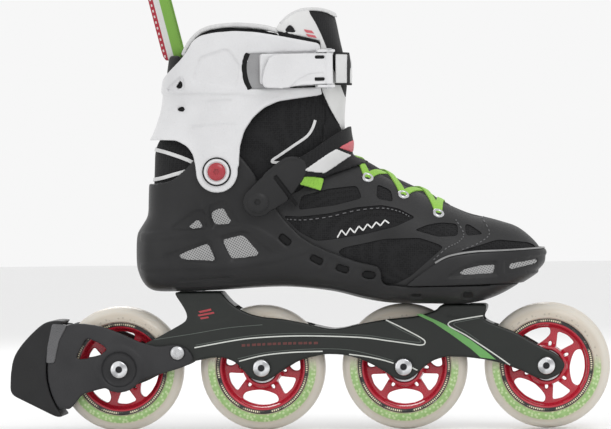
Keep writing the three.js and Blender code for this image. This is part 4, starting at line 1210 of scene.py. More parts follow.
# Two lengths of white piping are sewn into the ankle: a V at the heel and a hook at the front.
heel_piping = [(-140, 204.5), (-122, 201.5), (-108, 197.4), (-98, 193.4), (-94.6, 190.6), (-99, 187.6),
               (-110, 184.6), (-123, 181.4), (-140, 179.5)]
front_piping = [(-9.4, 222), (-11.5, 216), (-15.4, 210.4), (-24, 204.4), (-34, 197.6), (-39.6, 193.8),
                (-38.4, 192.2), (-30, 192.4), (-20, 194.6)]
white_piping = printed_look("white_piping", (0.55, 0.55, 0.55), (0.74, 0.74, 0.74), 0.5)
for name, line, width in (("heel_piping", heel_piping, 2.6), ("front_piping", front_piping, 1.9)):
    piped = skin_of(upper_form, name, 0.9, -0.5, [band(curve_through(line), (width, width))])
    finished(piped, white_piping, sharp=50)
    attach(piped, "boot")

# ------------------------------------------------------------------ liner
# A padded black liner fills the boot and ends in a thick foam collar round the ankle, rolled over at
# the top with a white cushioned edge. It is a bag of knitted lining over foam, stitched inside the
# upper.
lining_outline = [
    (-160, 90), (160, 90), (160, 168), (100, 168), (60, 190), (20, 200), (4, 206), (2, 217), (-4, 229),
    (-10, 241), (-20, 252), (-160, 252),
]
collar_outline = [
    (-160, 247), (-18, 247), (-20, 252), (-34, 268), (-40, 286), (-52, 288), (-66, 288.8), (-80, 288.2),
    (-90, 285.4), (-97, 277), (-103, 269), (-112, 267), (-160, 264),
]
fill_pressure = 4.0
settling_frames = 20


def swollen(piece, grid, cap):
    """Fills a padded piece like a stuffed bag, moving no point farther than the cap in millimetres."""
    softened(piece, grid, passes=2)
    before = [point.co.copy() for point in piece.data.vertices]
    stuffing = piece.modifiers.new("stuffing", "CLOTH")
    stuffing.settings.quality = 5
    stuffing.settings.use_pressure = True
    stuffing.settings.uniform_pressure_force = fill_pressure
    stuffing.settings.effector_weights.gravity = 0.0
    stuffing.point_cache.frame_start = 1
    stuffing.point_cache.frame_end = settling_frames
    for step in range(1, settling_frames + 1):
        bpy.context.scene.frame_set(step)
    settled(piece)
    bpy.context.scene.frame_set(1)
    for point, rest in zip(piece.data.vertices, before):
        move = point.co - rest
        if move.length > cap * mm:
            point.co = rest + move.normalized() * cap * mm
    finer = piece.modifiers.new("finer", "SUBSURF")
    finer.levels = 1
    finer.render_levels = 1
    return settled(piece)


def kept_rest(piece):
    """Stores every point's place at rest, so that a pattern stays on cloth that bends."""
    places = piece.data.attributes.new("rest_place", "FLOAT_VECTOR", "POINT")
    places.data.foreach_set("vector", [value for point in piece.data.vertices for value in point.co])
    return piece


lining_form = boot_form("lining_form", 6.8, 10.6, top=3.4)
collar_form = softened(leg_form(4.9), 2.2, passes=4)
cuff_pad_form = softened(leg_form(1.0), 2.2, passes=4)
lining = skin_of(lining_form, "boot_lining", 0, -4.5, [lining_outline])
lining_throat = [(-30, 149), (88, 149), (88, 207), (-30, 207)]
carved(lining, plates("lining_throat", [lining_throat], -tongue_half, tongue_half))
softened(lining, 1.9, passes=3)
lining_knit = knit_look("black_lining_knit", (0.0055, 0.0055, 0.006), (0.020, 0.020, 0.021), cell=1.1,
                        bends=True)
finished(kept_rest(lining), lining_knit, sharp=70)
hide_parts("liner")
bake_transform(lining)

collar = skin_of(collar_form, "collar_pad", -0.9, -9.5, [rounded(collar_outline, 3.0)])
swollen(collar, 2.4, 1.1)
finished(kept_rest(collar), lining_knit, sharp=70)
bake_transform(collar)

roll_line = curve_through([
    (-104, 269), (-101, 275), (-96, 281.4), (-89, 286.6), (-80, 289.2), (-66, 290.4), (-52, 289.6),
    (-42, 288), (-34, 285.4),
])
roll = skin_of(collar_form, "collar_roll", 0.5, -10.5, [rounded(band(roll_line, (3.4, 3.6)), 1.0, 2)])
softened(roll, 1.0, passes=8)
heel_pad = skin_of(cuff_pad_form, "heel_pad", -0.3, -6.5, [
    rounded([(-130, 250), (-116, 253), (-103, 264.5), (-106, 269.5), (-116, 269.6), (-130, 266)], 2.0)])
swollen(heel_pad, 2.2, 0.8)
finished(kept_rest(heel_pad), lining_knit, sharp=70)
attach(heel_pad, "cuff")
white_knit = knit_look("white_cushion_knit", (0.56, 0.56, 0.56), (0.68, 0.68, 0.68), cell=1.0, sheen=0.1,
                       bends=True)
finished(kept_rest(roll), white_knit, sharp=70)
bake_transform(roll)

insole_grey = knit_look("insole_felt", (0.03, 0.03, 0.032), (0.07, 0.07, 0.074), cell=0.9)
dressed("insole", insole_grey)

# ------------------------------------------------------------------ tongue
# A thick foam tongue runs from under the laces up the shin. Its sides are faced with white synthetic
# leather and its front with a black panel, and a soft white binding closes the top edge. It is sewn
# in at the toe end only.
shin_outline = [
    (-36, 287), (-30, 270), (-16, 252), (-6, 243), (-3, 231), (-4, 217), (-6, 202), (40, 202), (40, 288),
    (14, 293), (5, 298.5), (-1, 301.6), (-8, 302.6), (-18, 301.8), (-27, 297.6), (-33, 292),
]
instep_outline = [(86, 151), (86, 175), (60, 195), (16, 210), (4, 208), (-4, 203), (-6, 190), (6, 178),
                  (50, 151)]
white_facings = [
    [(-60, 289), (-60, 306), (-13.6, 306), (-12, 298), (-8, 291), (-4.4, 283), (-1, 274), (1.4, 262),
     (-4, 262), (-5.4, 278.4), (-20, 282), (-35, 285.4)],
    [(1.4, 262), (6.8, 252), (9.4, 243), (11.6, 234), (16, 231), (16, 207), (9, 212), (7, 217.6), (0.4, 231),
     (-4.6, 243.6), (-5, 262)],
]
tongue_form = boot_form("tongue_form", 7.6, 4.4, top=0.5)
tongue = skin_of(tongue_form, "tongue_pad", -0.6, -7.0, [shin_outline])
instep_pad = skin_of(tongue_form, "instep_pad", 1.2, -6.0, [instep_outline])
instep_room = [(-20, 140), (100, 140), (100, 230), (-20, 230)]
carved(instep_pad, plates("instep_width", [instep_room], -23, 23), "INTERSECT")
carved(tongue, instep_pad, "UNION")
swollen(tongue, 2.2, 1.3)
tongue_black = knit_look("tongue_black_knit", (0.006, 0.006, 0.0065), (0.022, 0.022, 0.023), cell=1.3,
                         bends=True)
finished(kept_rest(tongue), tongue_black, sharp=70)
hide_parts("tongue")
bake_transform(tongue)


def bending_leather(name, dark, light):
    """Synthetic leather whose pebbles stay put while it bends."""
    look = new_look(name)
    at = on_piece(look, bends=True)
    pebbles = node(look, "TexVoronoi", {"Vector": at, "Scale": 800.0}).outputs["Distance"]
    cloud = ranged(look, noise(look, at, 30.0, 4.0), 0.3, 0.7)
    shader_of(look, Base_Color=blended(look, cloud, dark, light),
              Roughness=ranged(look, pebbles, 0.1, 0.6, 0.42, 0.58),
              Normal=bumped(look, pebbles, 0.0001, 0.35))
    return look


white_leather = bending_leather("white_leather", (0.60, 0.60, 0.595), (0.74, 0.74, 0.735))
facing = skin_of(tongue_form, "tongue_facing", 0.95, -3.0, [rounded(shin_outline, 2.0)])
carved(facing, plates("facing_window", white_facings, -far, far), "INTERSECT")
carved(facing, plates("small_vent", [rounded([(-29.5, 285.6), (-25.6, 290.4), (-21, 284)], 0.8)], -far, far))
softened(facing, 0.9, passes=4)
finished(kept_rest(facing), white_leather, sharp=70)
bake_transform(facing)

rim_line = curve_through([
    (34, 288.6), (14, 291.8), (4.4, 297), (-1, 299.9), (-8, 301.1), (-17.6, 300.4), (-26.2, 296.4),
    (-32.4, 290.6),
])
tongue_rim = skin_of(tongue_form, "tongue_rim", 1.2, -7.6, [band(rim_line, (2.6, 2.6))])
softened(tongue_rim, 0.9, passes=5)
finished(kept_rest(tongue_rim), white_knit, sharp=70)
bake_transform(tongue_rim)

coral_leather = bending_leather("coral_leather", (0.50, 0.09, 0.11), (0.60, 0.13, 0.15))
tongue_mark = skin_of(tongue_form, "tongue_mark", 1.35, 0.2, [
    [(-16, 286.6), (-10.5, 285.6), (-9, 283.6), (-14.6, 284.4)],
    [(-14.6, 283.4), (-8.4, 282.2), (-7.2, 280.4), (-13.2, 281.4)],
])
finished(kept_rest(tongue_mark), coral_leather, sharp=50)
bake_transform(tongue_mark)

for form in (shell_form, lining_form, collar_form, cuff_pad_form, tongue_form):
    bpy.data.objects.remove(form)

# ------------------------------------------------------------------ cuff
# The cuff is a stiff white moulding that wraps the heel and ankle and pivots on a bolt each side. It
# has a raised shoulder along the top, a pressed channel for the buckle, small vents at the back and a
# tower down each side to the pivot.
cuff_wall = 3.0
band_bolt_at = (-30, 258.5)
ankle_low, ankle_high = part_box("ankle_bolt_outer")
ankle_x = ((ankle_low.x + ankle_high.x) / 2 - drawing_x) / mm
ankle_z = (ankle_low.z + ankle_high.z) / 2 / mm
tower_foot = around_at(ankle_x, ankle_z, [(15, a) for a in range(5, -186, -10)])
cuff_outline = [
    (-142, 209), (-130, 238), (-125, 247), (-117.5, 255), (-105, 266), (-100, 272), (-96, 279), (-90, 283),
    (-80, 285), (-65, 286), (-50, 285), (-35, 282.5), (-20, 279.5), (-5, 276.5), (-3, 258), (-5, 239.6),
    (-20, 237.6), (-35, 235.5), (-45, 231), (-53, 224), (-59, 215), (-62, 205),
] + tower_foot + [(-96, 198), (-100, 204), (-108, 208.4), (-118, 209)]
shoulder_outline = [
    (-142, 243), (-101, 242.4), (-60, 241), (-30, 240.8), (0, 243.4), (0, 290), (-60, 292), (-100, 285),
    (-142, 270),
]
cuff_recesses = [
    (0.9, [(-87, 227), (-70.5, 227.6), (-66.5, 238), (-87, 236.8)]),
    (0.8, [(-98, 203), (-66.5, 203), (-65, 221), (-98, 219)]),
    (0.8, [(-118, 243.4), (-110, 251), (-103, 255), (-101.6, 244)]),
    (0.8, [(-118, 228), (-112, 232.6), (-101.6, 235.4), (-101, 227)]),
    (0.5, [(-97, 250), (-64, 245.4), (-61, 262), (-70, 274), (-90, 268)]),
]
channel_outline = [(-54.5, 244.4), (-40, 244.2), (10, 245.6), (10, 271), (-54.5, 270.2), (-56.8, 258)]
slot_line = [(-55.6, 270), (-57.9, 264), (-58.3, 257.4), (-57, 250), (-54.6, 244.4)]
cuff_vents = [[(-109.4, 246.2), (-104, 252.8), (-103.8, 245.8)],
              [(-109.6, 230.6), (-103, 233.2), (-102, 228.8)]]
cuff_form = softened(leg_form(0), 2.2, passes=4)
cuff = skin_of(cuff_form, "ankle_cuff", 0, -cuff_wall, [rounded(cuff_outline, 2.5, 3)])
shoulder = skin_of(cuff_form, "shoulder", 1.1, -1.5, [rounded(shoulder_outline, 5.0)])
carved(shoulder, plates("shoulder_edge", [rounded(cuff_outline, 2.5, 3)], -far, far), "INTERSECT")
carved(cuff, shoulder, "UNION")
front_rim_line = curve_through([(-4, 241.2), (-20, 239), (-35, 237), (-46, 232), (-54.6, 224.6),
                                (-60.4, 215.4), (-63.2, 205), (-64, 190)])
carved(cuff, skin_of(cuff_form, "front_rim", 0.6, -1.5, [band(front_rim_line, (2.6, 2.2))]), "UNION")
for depth, outline in cuff_recesses:
    carved(cuff, above(cuff_form, depth, [rounded(outline, 3.0)]))
carved(cuff, above(cuff_form, 0.9, [rounded(channel_outline, 1.5)], side=-1))
carved(cuff, above(cuff_form, 2.3, [band(curve_through(slot_line), (2.6, 2.6))], side=-1))
openings = [rounded(outline, 0.6) for outline in cuff_vents]
carved(cuff, plates("cuff_vents", openings, -far, far))
carved(cuff, rod("pivot_hole", 4.5, ankle_x, ankle_z, -well_past, well_past, 32))
for side in (-1, 1):
    carved(cuff, rod("ring_room", 10.3, ankle_x, ankle_z, *span(side, 45.1, well_past)))
carved(cuff, rod("band_screw_hole", 3.0, *band_bolt_at, 0, well_past, 32))
softened(cuff, 0.95, passes=3)
cuff_white = moulded_look("white_satin_plastic", (0.62, 0.62, 0.63), (0.72, 0.72, 0.73), rough=0.34,
                          grain=900.0, depth=0.00005, coat=0.15)
finished(cuff, cuff_white, sharp=60)
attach(cuff, "cuff")
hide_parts("cuff")
# A near-black strip in the channel's slot is painted shade.
slot_shade_strip = skin_of(cuff_form, "channel_slot_shade", 0.8, -2.6,
                     [band(curve_through(slot_line), (3.6, 3.6))], side=-1)
finished(slot_shade_strip, shade_and_trim_black)
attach(slot_shade_strip, "cuff")
# Near-black lines above and below the lever are painted shade in the gaps between lever and channel.
gap_shade_lines = [band([(-30, 271.2), (-12, 271.6), (2, 271.8)], (1.2, 0.8)),
             band([(-26, 245.2), (-10, 245.8), (2, 246.6)], (1.4, 0.9))]
gap_shade = skin_of(cuff_form, "channel_gap_shade", 0.25, -1.5, gap_shade_lines, side=-1)
finished(gap_shade, shade_and_trim_black)
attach(gap_shade, "cuff")
# A grey sheet on the channel floor beside the slot is partly painted shade and partly a darker floor tone.
floor_outline = [(-53.8, 244.8), (-42, 245), (-42, 269.8), (-54.8, 269.8), (-57, 264), (-57.4, 257.4),
                 (-56.1, 250)]
floor_shade_grey = moulded_look("channel_shade_grey", (0.22, 0.22, 0.225), (0.34, 0.34, 0.345), rough=0.5)
channel_floor_shade = skin_of(cuff_form, "channel_floor_shade", 0.6, -1.6, [floor_outline], side=-1)
finished(channel_floor_shade, floor_shade_grey)
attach(channel_floor_shade, "cuff")
# Near-black plates at the bottom of the back vents are painted shade, so the vents read dark.
vent_shade = skin_of(cuff_form, "cuff_vent_shade", -2.2, -2.8, [
    [(-111, 245), (-104, 254.4), (-102.6, 244.6)],
    [(-111.4, 230.6), (-102, 234.6), (-100.8, 227.6)],
])
finished(vent_shade, shade_and_trim_black)
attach(vent_shade, "cuff")

# ------------------------------------------------------------------ ankle bolts
# Each pivot is a shouldered bolt with a red anodised cap, seated in a round white washer. The dark
# ring round the washer, in the cuff's groove, is painted shade.
cap_profile = [(0, 2.2), (3.4, 2.05), (5.4, 1.5), (6.3, 0.7), (6.5, 0.0), (4.0, -0.2), (4.0, -7), (0, -7)]
washer_profile = [(4.1, 0.0), (9.2, 0.0), (9.2, 0.8), (8.8, 1.15), (7.4, 1.25), (6.9, 0.8), (4.1, 0.8)]
groove_shade_profile = [(9.25, 0.0), (10.25, 0.0), (10.25, 0.9), (9.75, 1.2), (9.25, 0.9)]
cap_red = moulded_look("red_anodised_cap", (0.30, 0.012, 0.022), (0.42, 0.02, 0.035), rough=0.28,
                       grain=1700.0, depth=0.00003, coat=0.5)
for side, side_name in ((-1, "outer"), (1, "inner")):
    face_y = 45.4
    cap_places = [(r, side * (face_y + 0.9 + y)) for r, y in cap_profile]
    cap = turned(f"ankle_cap_{side_name}", cap_places, ankle_x, ankle_z, 64)
    star = around_at(ankle_x, ankle_z, [((2.5, 1.7)[k % 2], 30 * k) for k in range(12)])
    carved(cap, plates("star_socket", [star], *span(side, face_y + 2.0, face_y + 6)))
    finished(cap, cap_red)
    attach(cap, "boot")
    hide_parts(f"ankle_bolt_{side_name}")
    # The dark ring is painted shade in the groove round the white washer.
    for name, profile, look, slot_name in (("ankle_washer", washer_profile, cuff_white, "cuff"),
                                           ("ankle_groove_shade", groove_shade_profile, shade_and_trim_black, "shell")):
        ring = [(r, face_y - 0.2 + y) for r, y in profile]
        disc = turned(f"{name}_{side_name}", closed_ring(ring, side), ankle_x, ankle_z, 72)
        finished(disc, look)
        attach(disc, "cuff")

# ------------------------------------------------------------------ top buckle
# A ratchet buckle closes the cuff across the shin: a riveted base, a long white lever that pivots on
# a steel pin, and a toothed ladder strap that comes round the front and is screwed to the inner side.
buckle_turn = 15.5
buckle_origin = Vector((-21.0, -42.2, 258.5))
hinge_at = (21.5, -6.7)


def on_buckle(piece):
    """Moves a piece made along the axes, in millimetres, to the buckle's slanting place on the cuff."""
    angle = math.radians(buckle_turn)
    for point in piece.data.vertices:
        x, y, z = point.co / mm
        turned_x = buckle_origin.x + x * math.cos(angle) - y * math.sin(angle)
        turned_y = buckle_origin.y + x * math.sin(angle) + y * math.cos(angle)
        point.co = spot(turned_x, turned_y, buckle_origin.z + z)
    return piece


def flat_plate(name, outline, y0, y1):
    """A plate of the buckle, still along the axes and in its own millimetres."""
    piece = plates(name, [outline], y0, y1)
    for point in piece.data.vertices:
        point.co.x -= drawing_x
    return piece


def upright_rod(name, radius, x, y, z0, z1, steps=32):
    """A rod standing along Z, for barrels and hinge pins."""
    bm = bmesh.new()
    bmesh.ops.create_cone(bm, cap_ends=True, segments=steps, radius1=radius * mm, radius2=radius * mm,
                          depth=(z1 - z0) * mm)
    bmesh.ops.translate(bm, verts=bm.verts, vec=(x * mm, y * mm, (z0 + z1) / 2 * mm))
    return made(name, bm)


base_outline = rounded([(-27, -10.8), (25, -10.8), (25, 10.8), (-27, 10.8)], 2.0)
base = flat_plate("buckle_frame", base_outline, -2.7, 2.2)
for z0, z1, foot_low, foot_high in ((-13.7, -11.4, -13.7, -10), (11.4, 13.7, 10, 13.7)):
    ear = flat_plate("ear", rounded([(13, z0), (26, z0), (26, z1), (13, z1)], 0.8), -8.4, 2.2)
    carved(base, ear, "UNION")
    foot_outline = [(13, foot_low), (26, foot_low), (26, foot_high), (13, foot_high)]
    foot = flat_plate("ear_foot", foot_outline, -2.7, 2.2)
    carved(base, foot, "UNION")
softened(base, 0.7, passes=2)
finished(on_buckle(base), cuff_white, sharp=55)
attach(base, "cuff")
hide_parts("buckle_base")

lever_edge = [
    (-25.0, -13.4), (-12.0, -13.9), (1.0, -11.8), (19.0, -11.0), (20.0, -10.4), (20.0, 10.4), (19.0, 11.0),
    (-14.0, 10.6), (-21.0, 8.8), (-25.4, -1.0), (-27.0, -9.0),
]
lever = flat_plate("buckle_lever_arm", rounded(lever_edge, 2.4, 4), -7.8, -4.7)
carved(lever, upright_rod("barrel", 3.0, *hinge_at, -10.9, 10.9), "UNION")
lever_slots = {}
for place, low_z, high_z in (("upper", 7.0, 9.3), ("lower", -8.6, -6.3)):
    lever_slots[place] = [(11.4, low_z), (18.6, low_z), (18.6, high_z), (11.4, high_z)]
    carved(lever, flat_plate("lever_slot", rounded(lever_slots[place], 0.9), -12, -5.9))
hollow_outline = [(-9, -14.5), (-1, -7.5), (7, -3.4), (18, -2.2), (18, -9.6), (1, -10.2), (-4, -14.5)]
carved(lever, flat_plate("finger_hollow", rounded(hollow_outline, 1.5), -8.6, -7.1))
carved(lever, upright_rod("pin_hole", 1.75, *hinge_at, -20, 20))
softened(lever, 0.6, passes=2)
finished(on_buckle(lever), cuff_white, sharp=55)
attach(lever, "lever")
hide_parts("buckle_lever")
# Near-black plates in the lever's two slots are painted shade.
for place, slot in lever_slots.items():
    lever_shade_plate = flat_plate(f"lever_slot_shade_{place}", slot, -7.0, -5.7)
    finished(on_buckle(lever_shade_plate), shade_and_trim_black)
    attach(lever_shade_plate, "lever")

pin = upright_rod("buckle_hinge_pin", 1.55, *hinge_at, -13.8, 13.8)
for side in (-1, 1):
    carved(pin, upright_rod("pin_head", 2.3, *hinge_at, *span(side, 13.2, 14.3)), "UNION")
pin_steel = brushed_steel("pin_steel", 0.55, 0.28)
finished(on_buckle(pin), pin_steel)
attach(pin, "cuff")
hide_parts("buckle_pin")

band_low, band_high = 247.4, 269.6
band_inner = rounded([(-41.5, band_low), (41, band_low), (41, band_high), (-41.5, band_high)], 3.0)
band_outer = [(5.6, band_low), (41, band_low), (41, band_high), (5.6, band_high)]
strap_form = softened(leg_form(0), 2.2, passes=4)
strap_pull = 4.5  # the pulled-tight band sits this much closer to the shin than the cuff's own line
for point in strap_form.data.vertices:
    past = min(max((point.co.x - spot(0, 0, 0).x) / (22 * mm), 0.0), 1.0)
    point.co.x -= strap_pull * mm * past * past * (3 - 2 * past)
ladder = skin_of(strap_form, "ladder_band", 3.2, 0.75, [band_inner], side=1)
front_half = skin_of(strap_form, "ladder_front", 3.2, 0.75, [band_outer], side=-1)
carved(ladder, front_half, "UNION")
for k in range(15):
    x = -8 + 3.0 * k
    tooth_outline = [(x, 252), (x + 1.5, 252), (x + 1.5, 265), (x, 265)]
    tooth = skin_of(strap_form, "ladder_tooth", 3.9, 2.8, [tooth_outline], side=1)
    carved(ladder, tooth, "UNION")
carved(ladder, rod("band_hole", 2.7, *band_bolt_at, 30, well_past, 32))
softened(ladder, 0.8, passes=1)
band_white = moulded_look("white_strap_plastic", (0.62, 0.62, 0.62), (0.72, 0.72, 0.72), rough=0.4,
                          grain=1100.0)
finished(ladder, band_white, sharp=50)
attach(ladder, "cuff")
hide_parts("ladder_strap")
edging = skin_of(strap_form, "strap_edging", 3.45, 0.9, [
    [(5.4, 246.8), (41, 246.8), (41, 248.2), (5.4, 248.2)],
    [(5.4, 268.8), (41, 268.8), (41, 270.2), (5.4, 270.2)],
    [(13.2, 246.8), (14.6, 246.8), (14.6, 270.2), (13.2, 270.2)],
], side=-1)
finished(edging, shade_and_trim_black)
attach(edging, "cuff")

screw_profile = [(0, 43.9), (2.5, 43.9), (2.5, 50.0), (5.4, 50.0), (5.4, 50.5), (4.6, 51.4), (3.2, 51.75),
                 (0, 51.8)]
band_bolt = turned("band_bolt", screw_profile, *band_bolt_at, 48)
socket = around_at(*band_bolt_at, hexagon_of(2.1), 20)
carved(band_bolt, plates("screw_socket", [socket], 50.6, 53))
finished(band_bolt, pin_steel)
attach(band_bolt, "cuff")
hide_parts("band_screw")

# ------------------------------------------------------------------ instep strap
# A quilted black strap crosses the instep at 45 degrees, faced with one white and one coral patch. A
# green pull tab hangs under it, and it is held on the outer side by a slotted arm that turns on a bolt.
outer_strap = [
    (-27, 193.6), (-21, 194.8), (-10, 201.6), (3, 210.8), (15, 218.5), (24, 212), (37, 200.5), (25.5, 191),
    (22, 190), (10, 186), (-3, 181.6), (-24, 181.4),
]
inner_strap = [
    (-58, 156.5), (-44, 153.5), (-20, 172.5), (10, 186), (22, 190), (25.5, 191), (37, 200.5), (24, 212),
    (15, 218.5), (3, 210.8), (-10, 201.6), (-34, 191.5), (-58, 171.5),
]
strap_over = boot_form("strap_over", -0.4, 0.3)
strap = skin_of(strap_over, "quilted_strap", 1.6, -1.1, [rounded(outer_strap, 1.5)], side=-1)
carved(strap, skin_of(strap_over, "strap_inner", 1.6, -1.1, [rounded(inner_strap, 1.5)], side=1), "UNION")
seams = [
    band([(-24, 188), (-6, 193.5), (11, 201.5), (29, 207)], (1.0, 1.0)),
    band([(4.6, 183.6), (-1, 190), (4.8, 201.8), (2, 212)], (1.0, 1.0)),
    band([(16, 187), (15.4, 196.4), (25, 206)], (1.0, 1.0)),
]
for seam in seams:
    carved(strap, above(strap_over, -0.85, [seam], side=-1))
softened(strap, 1.0, passes=4)
strap_knit = knit_look("strap_black_weave", (0.0065, 0.0065, 0.007), (0.021, 0.021, 0.022), cell=1.0)
finished(strap, strap_knit, sharp=60)
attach(strap, "boot")
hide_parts("instep_strap")
white_patch = [(-17.5, 186), (-12, 185), (-3, 183.8), (5, 189), (15.4, 196.6), (5.4, 201.4), (-1, 197.6)]
coral_patch = [(7, 202.2), (17.6, 197.4), (25.6, 199.6), (31, 203), (17.6, 208.6)]
patch_white = leather_look("patch_white", (0.60, 0.60, 0.60), (0.72, 0.72, 0.72))
patch_coral = leather_look("patch_coral", (0.50, 0.085, 0.105), (0.60, 0.12, 0.145))
for name, look, outline in (("white_patch", patch_white, white_patch),
                            ("coral_patch", patch_coral, coral_patch)):
    patch = skin_of(strap_over, name, 2.3, 0.9, [rounded(outline, 1.2)], side=-1, softer=(0.8, 2))
    finished(patch, look, sharp=60)
    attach(patch, "boot")
lime_tape = knit_look("lime_tape", (0.20, 0.42, 0.045), (0.30, 0.58, 0.075), cell=1.2, sheen=0.1)
tab_outline = rounded([(-20.5, 184), (-3.4, 180.4), (-5.6, 171.6), (-21, 176.4)], 1.2)
pull_tab = skin_of(strap_over, "pull_tab", 0.6, -1.4, [tab_outline], side=-1, softer=(0.8, 2))
finished(pull_tab, lime_tape, sharp=60)
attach(pull_tab, "boot")
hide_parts("strap_tab")

arm_hub = (-50.0, 164.0)
arm_outline = around_at(*arm_hub, [(10.6, a) for a in range(130, 321, 10)])
arm_outline += [(-30, 163.5), (-18.5, 178.6), (-14.6, 186), (-16, 193.4), (-23, 196.6), (-31, 195.5),
                (-44, 184.5)]
arm = skin_of(strap_over, "strap_arm_plate", 1.9, -1.2, [rounded(arm_outline, 2.0)], side=-1)
arm_slot = band([(-37.5, 182.5), (-29, 170.5), (-22.5, 161)], (3.0, 3.0))
carved(arm, above(strap_over, -0.4, [arm_slot], side=-1))
arm_edge = band(curve_through([(-45, 183), (-38, 189), (-29, 195), (-21, 195)]), (1.6, 1.6))
carved(arm, skin_of(strap_over, "arm_edge", 2.7, 0, [arm_edge], side=-1), "UNION")
softened(arm, 0.85, passes=3)
finished(arm, shell_black, sharp=55)
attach(arm, "boot")
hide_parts("strap_arm")
# A near-black strip at the bottom of the arm's slot is painted shade.
shade_outline = band([(-37.2, 182), (-29, 170.5), (-22.8, 161.5)], (2.4, 2.4))
arm_shade = skin_of(strap_over, "arm_slot_shade", 1.75, 0.0, [shade_outline], side=-1)
finished(arm_shade, shade_and_trim_black)
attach(arm_shade, "boot")

for side, side_name in ((-1, "outer"), (1, "inner")):
    profile = [(0, 38), (3, 38), (3, 44.2), (7.6, 44.2), (7.6, 44.8), (6.6, 45.7), (4.6, 46.3),
               (2.4, 46.55), (0, 46.6)]
    pivot = turned(f"strap_pivot_{side_name}", [(r, side * y) for r, y in profile], *arm_hub, 64)
    socket = around_at(*arm_hub, hexagon_of(2.4))
    carved(pivot, plates("pivot_socket", [socket], *span(side, 45.2, 48)))
    finished(pivot, shell_black)
    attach(pivot, "boot")
    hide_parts(f"strap_bolt_{side_name}")

# ------------------------------------------------------------------ laces and eyelets
# Flat woven laces cross over the tongue through nickel eyelets pressed into both edges of the
# throat. They stay tied here, with their ends tucked under the instep strap.
eyelets = [(27.0, 180.0), (52.5, 167.5), (77.5, 154.0)]
lace_width = 5.4
lace_thick = 1.3
lace_lift = 1.0
heart_below = 22  # the laces' arcs are centred this far under the eyelets
lace_points = 25


def over_foot(x, z, across):
    """A place and outward direction on the upper: across runs from -1, the outer eyelets, to 1."""
    heart = spot(x, 0, z - heart_below)
    side = spot(x, -90, z)
    found = upper_form.ray_cast(side, Vector((0, 1, 0)))
    reach = math.atan2(abs(found[1].y), heart_below * mm)
    direction = Vector((0, math.sin(reach * across), math.cos(reach * across)))
    hit = upper_form.ray_cast(heart + direction * 0.12, -direction)
    return hit[1], hit[2]


def ribbon(name, places, outward, width, thick):
    """A flat band with rounded edges, along places in metres, facing the outward directions."""
    bm = bmesh.new()
    section = [(-0.5, -0.2), (-0.46, -0.5), (0.46, -0.5), (0.5, -0.2), (0.5, 0.2), (0.46, 0.5), (0, 0.62),
               (-0.46, 0.5), (-0.5, 0.2)]
    rings = []
    for k, place in enumerate(places):
        ahead = (places[min(k + 1, len(places) - 1)] - places[max(k - 1, 0)]).normalized()
        sideways = ahead.cross(outward[k]).normalized()
        up = sideways.cross(ahead).normalized()
        ring = [place + sideways * (a * width * mm) + up * (b * thick * mm) for a, b in section]
        rings.append([bm.verts.new(point) for point in ring])
    for first, second in zip(rings, rings[1:]):
        for k in range(len(section)):
            n = (k + 1) % len(section)
            bm.faces.new((first[k], first[n], second[n], second[k]))
    bm.faces.new(rings[0][::-1])
    bm.faces.new(rings[-1])
    bmesh.ops.recalc_face_normals(bm, faces=bm.faces)
    return made(name, bm)


def lace_run(name, start, end, lift):
    """One run of lace from (x, z, across) to another, raised where it crosses its neighbour."""
    places = []
    outward = []
    for k in range(lace_points):
        t = k / (lace_points - 1)
        x, z, across = (a + (b - a) * t for a, b in zip(start, end))
        place, normal = over_foot(x, z, across)
        ride = lace_lift + lift * math.exp(-((t - 0.5) / 0.16) ** 2)
        if k in (0, lace_points - 1) and abs(across) > 0.9:
            ride = -0.4
        places.append(place + normal * ride * mm)
        outward.append(normal)
    return ribbon(name, places, outward, lace_width, lace_thick)


lace_runs = []
for first, second in zip(eyelets, eyelets[1:]):
    for turn, lift in ((-1, 0.0), (1, 1.5)):
        lace_runs.append(lace_run("lace_run", (*first, turn), (*second, -turn), lift))
lace_runs.append(lace_run("lace_run", (*eyelets[2], -1), (*eyelets[2], 1), 0.0))
for turn, lift in ((-1, 0.0), (1, 1.5)):
    lace_runs.append(lace_run("lace_run", (*eyelets[0], turn), (10.0, 190.0, -turn * 0.6), lift))
lace = joined("woven_lace", lace_runs)
finished(lace, lime_tape, sharp=50)
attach(lace, "boot")
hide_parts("lace")

rings = []
scene_zero = -17.0  # x of the scene's own zero in the drawings, where an eyelet is made before it is set
eyelet_profile = [
    (2.1, 0.0), (2.1, 0.5), (2.6, 1.0), (3.4, 1.05), (4.1, 0.7), (4.4, 0.1), (4.4, -0.6), (2.1, -0.6),
]
for x, z in eyelets:
    for turn in (-1, 1):
        place, normal = over_foot(x, z, turn)
        ring = turned("eyelet", closed_ring(eyelet_profile), scene_zero, 0.0, 32)
        lean = Vector((0, 1, 0)).rotation_difference(normal)
        for point in ring.data.vertices:
            point.co = place + normal * 0.9 * mm + lean @ point.co
        rings.append(ring)
eyelet_rings = joined("nickel_eyelets", rings)
finished(eyelet_rings, brushed_steel("nickel", 0.6, 0.22), sharp=50)
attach(eyelet_rings, "boot")

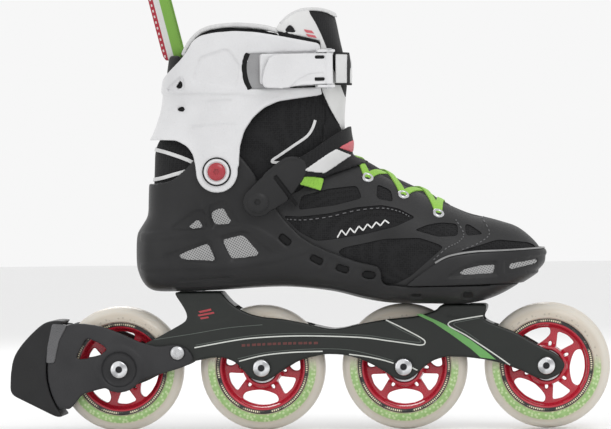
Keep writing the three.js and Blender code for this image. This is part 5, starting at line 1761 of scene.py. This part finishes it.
# ------------------------------------------------------------------ heel loop
# A tall loop of striped webbing is sewn into the back of the collar, to pull the boot on and to
# carry it by. It stands up from the cuff, leaning back, with red, white and green woven stripes.
loop_x = -111.5
loop_foot = 265.35
loop_lean = 0.25
loop_width = 14.8
loop_bend = 9.0
bend_z = 310
loop_path = [(-loop_bend, z) for z in (265.6, 275, 285, 295, 304, bend_z)]
for a in range(15, 180, 15):
    angle = math.radians(a)
    loop_path.append((-loop_bend * math.cos(angle), bend_z + loop_bend * math.sin(angle)))
loop_path += [(-y, z) for y, z in loop_path[:6][::-1]]
loop_places = [spot(loop_x - loop_lean * (z - loop_foot), y, z) for y, z in loop_path]
loop_out = []
for y, z in loop_path:
    if z <= bend_z:
        loop_out.append(Vector((0, y / loop_bend, 0)))
    else:
        loop_out.append(Vector((0, y, z - bend_z)).normalized())
loop = ribbon("webbing_loop", loop_places, loop_out, loop_width, 1.9)
finer = loop.modifiers.new("finer", "SUBSURF")
finer.levels = 1
finer.render_levels = 1
settled(loop)


def webbing_look(name, width, foot_x, foot_z, lean):
    """Ribbed webbing with red, white and green woven stripes, and pale dashes in the red one."""
    look = new_look(name)
    at = on_piece(look, (drawing_x + foot_x * mm, 0, foot_z * mm), (0, -math.atan(lean), 0))
    parts = node(look, "SeparateXYZ", {"Vector": at})
    across = maths(look, "MULTIPLY", parts.outputs["X"], 1 / (width * mm))
    along = parts.outputs["Z"]
    rib = sine_of(look, along, 2 * math.pi / (1.1 * mm))
    cord = sine_of(look, across, 2 * math.pi * 14)
    weave = maths(look, "MULTIPLY", rib, cord)
    red = blended(look, ranged(look, weave, -1, 1), (0.28, 0.015, 0.03), (0.46, 0.03, 0.05))
    white = blended(look, ranged(look, weave, -1, 1), (0.52, 0.52, 0.5), (0.76, 0.76, 0.74))
    green = blended(look, ranged(look, weave, -1, 1), (0.13, 0.30, 0.04), (0.24, 0.46, 0.08))
    dash = ranged(look, sine_of(look, along, 2 * math.pi / (4.2 * mm)), 0.2, 0.35)
    in_dash = maths(look, "MULTIPLY", dash, between(look, across, -0.43, -0.36, 0.01))
    red = blended(look, in_dash, red, (0.66, 0.60, 0.58))
    inner = blended(look, ranged(look, across, -0.275, -0.265), red, white)
    colour = blended(look, ranged(look, across, 0.01, 0.03), inner, green)
    shader_of(look, Base_Color=colour, Roughness=0.85, Sheen_Weight=0.2,
              Normal=bumped(look, weave, 0.00025, 0.5))
    return look


finished(loop, webbing_look("striped_webbing", loop_width, loop_x, loop_foot, loop_lean), sharp=70)
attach(loop, "cuff")
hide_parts("heel_loop")

for form in (upper_form, cuff_form, strap_form, strap_over):
    bpy.data.objects.remove(form)
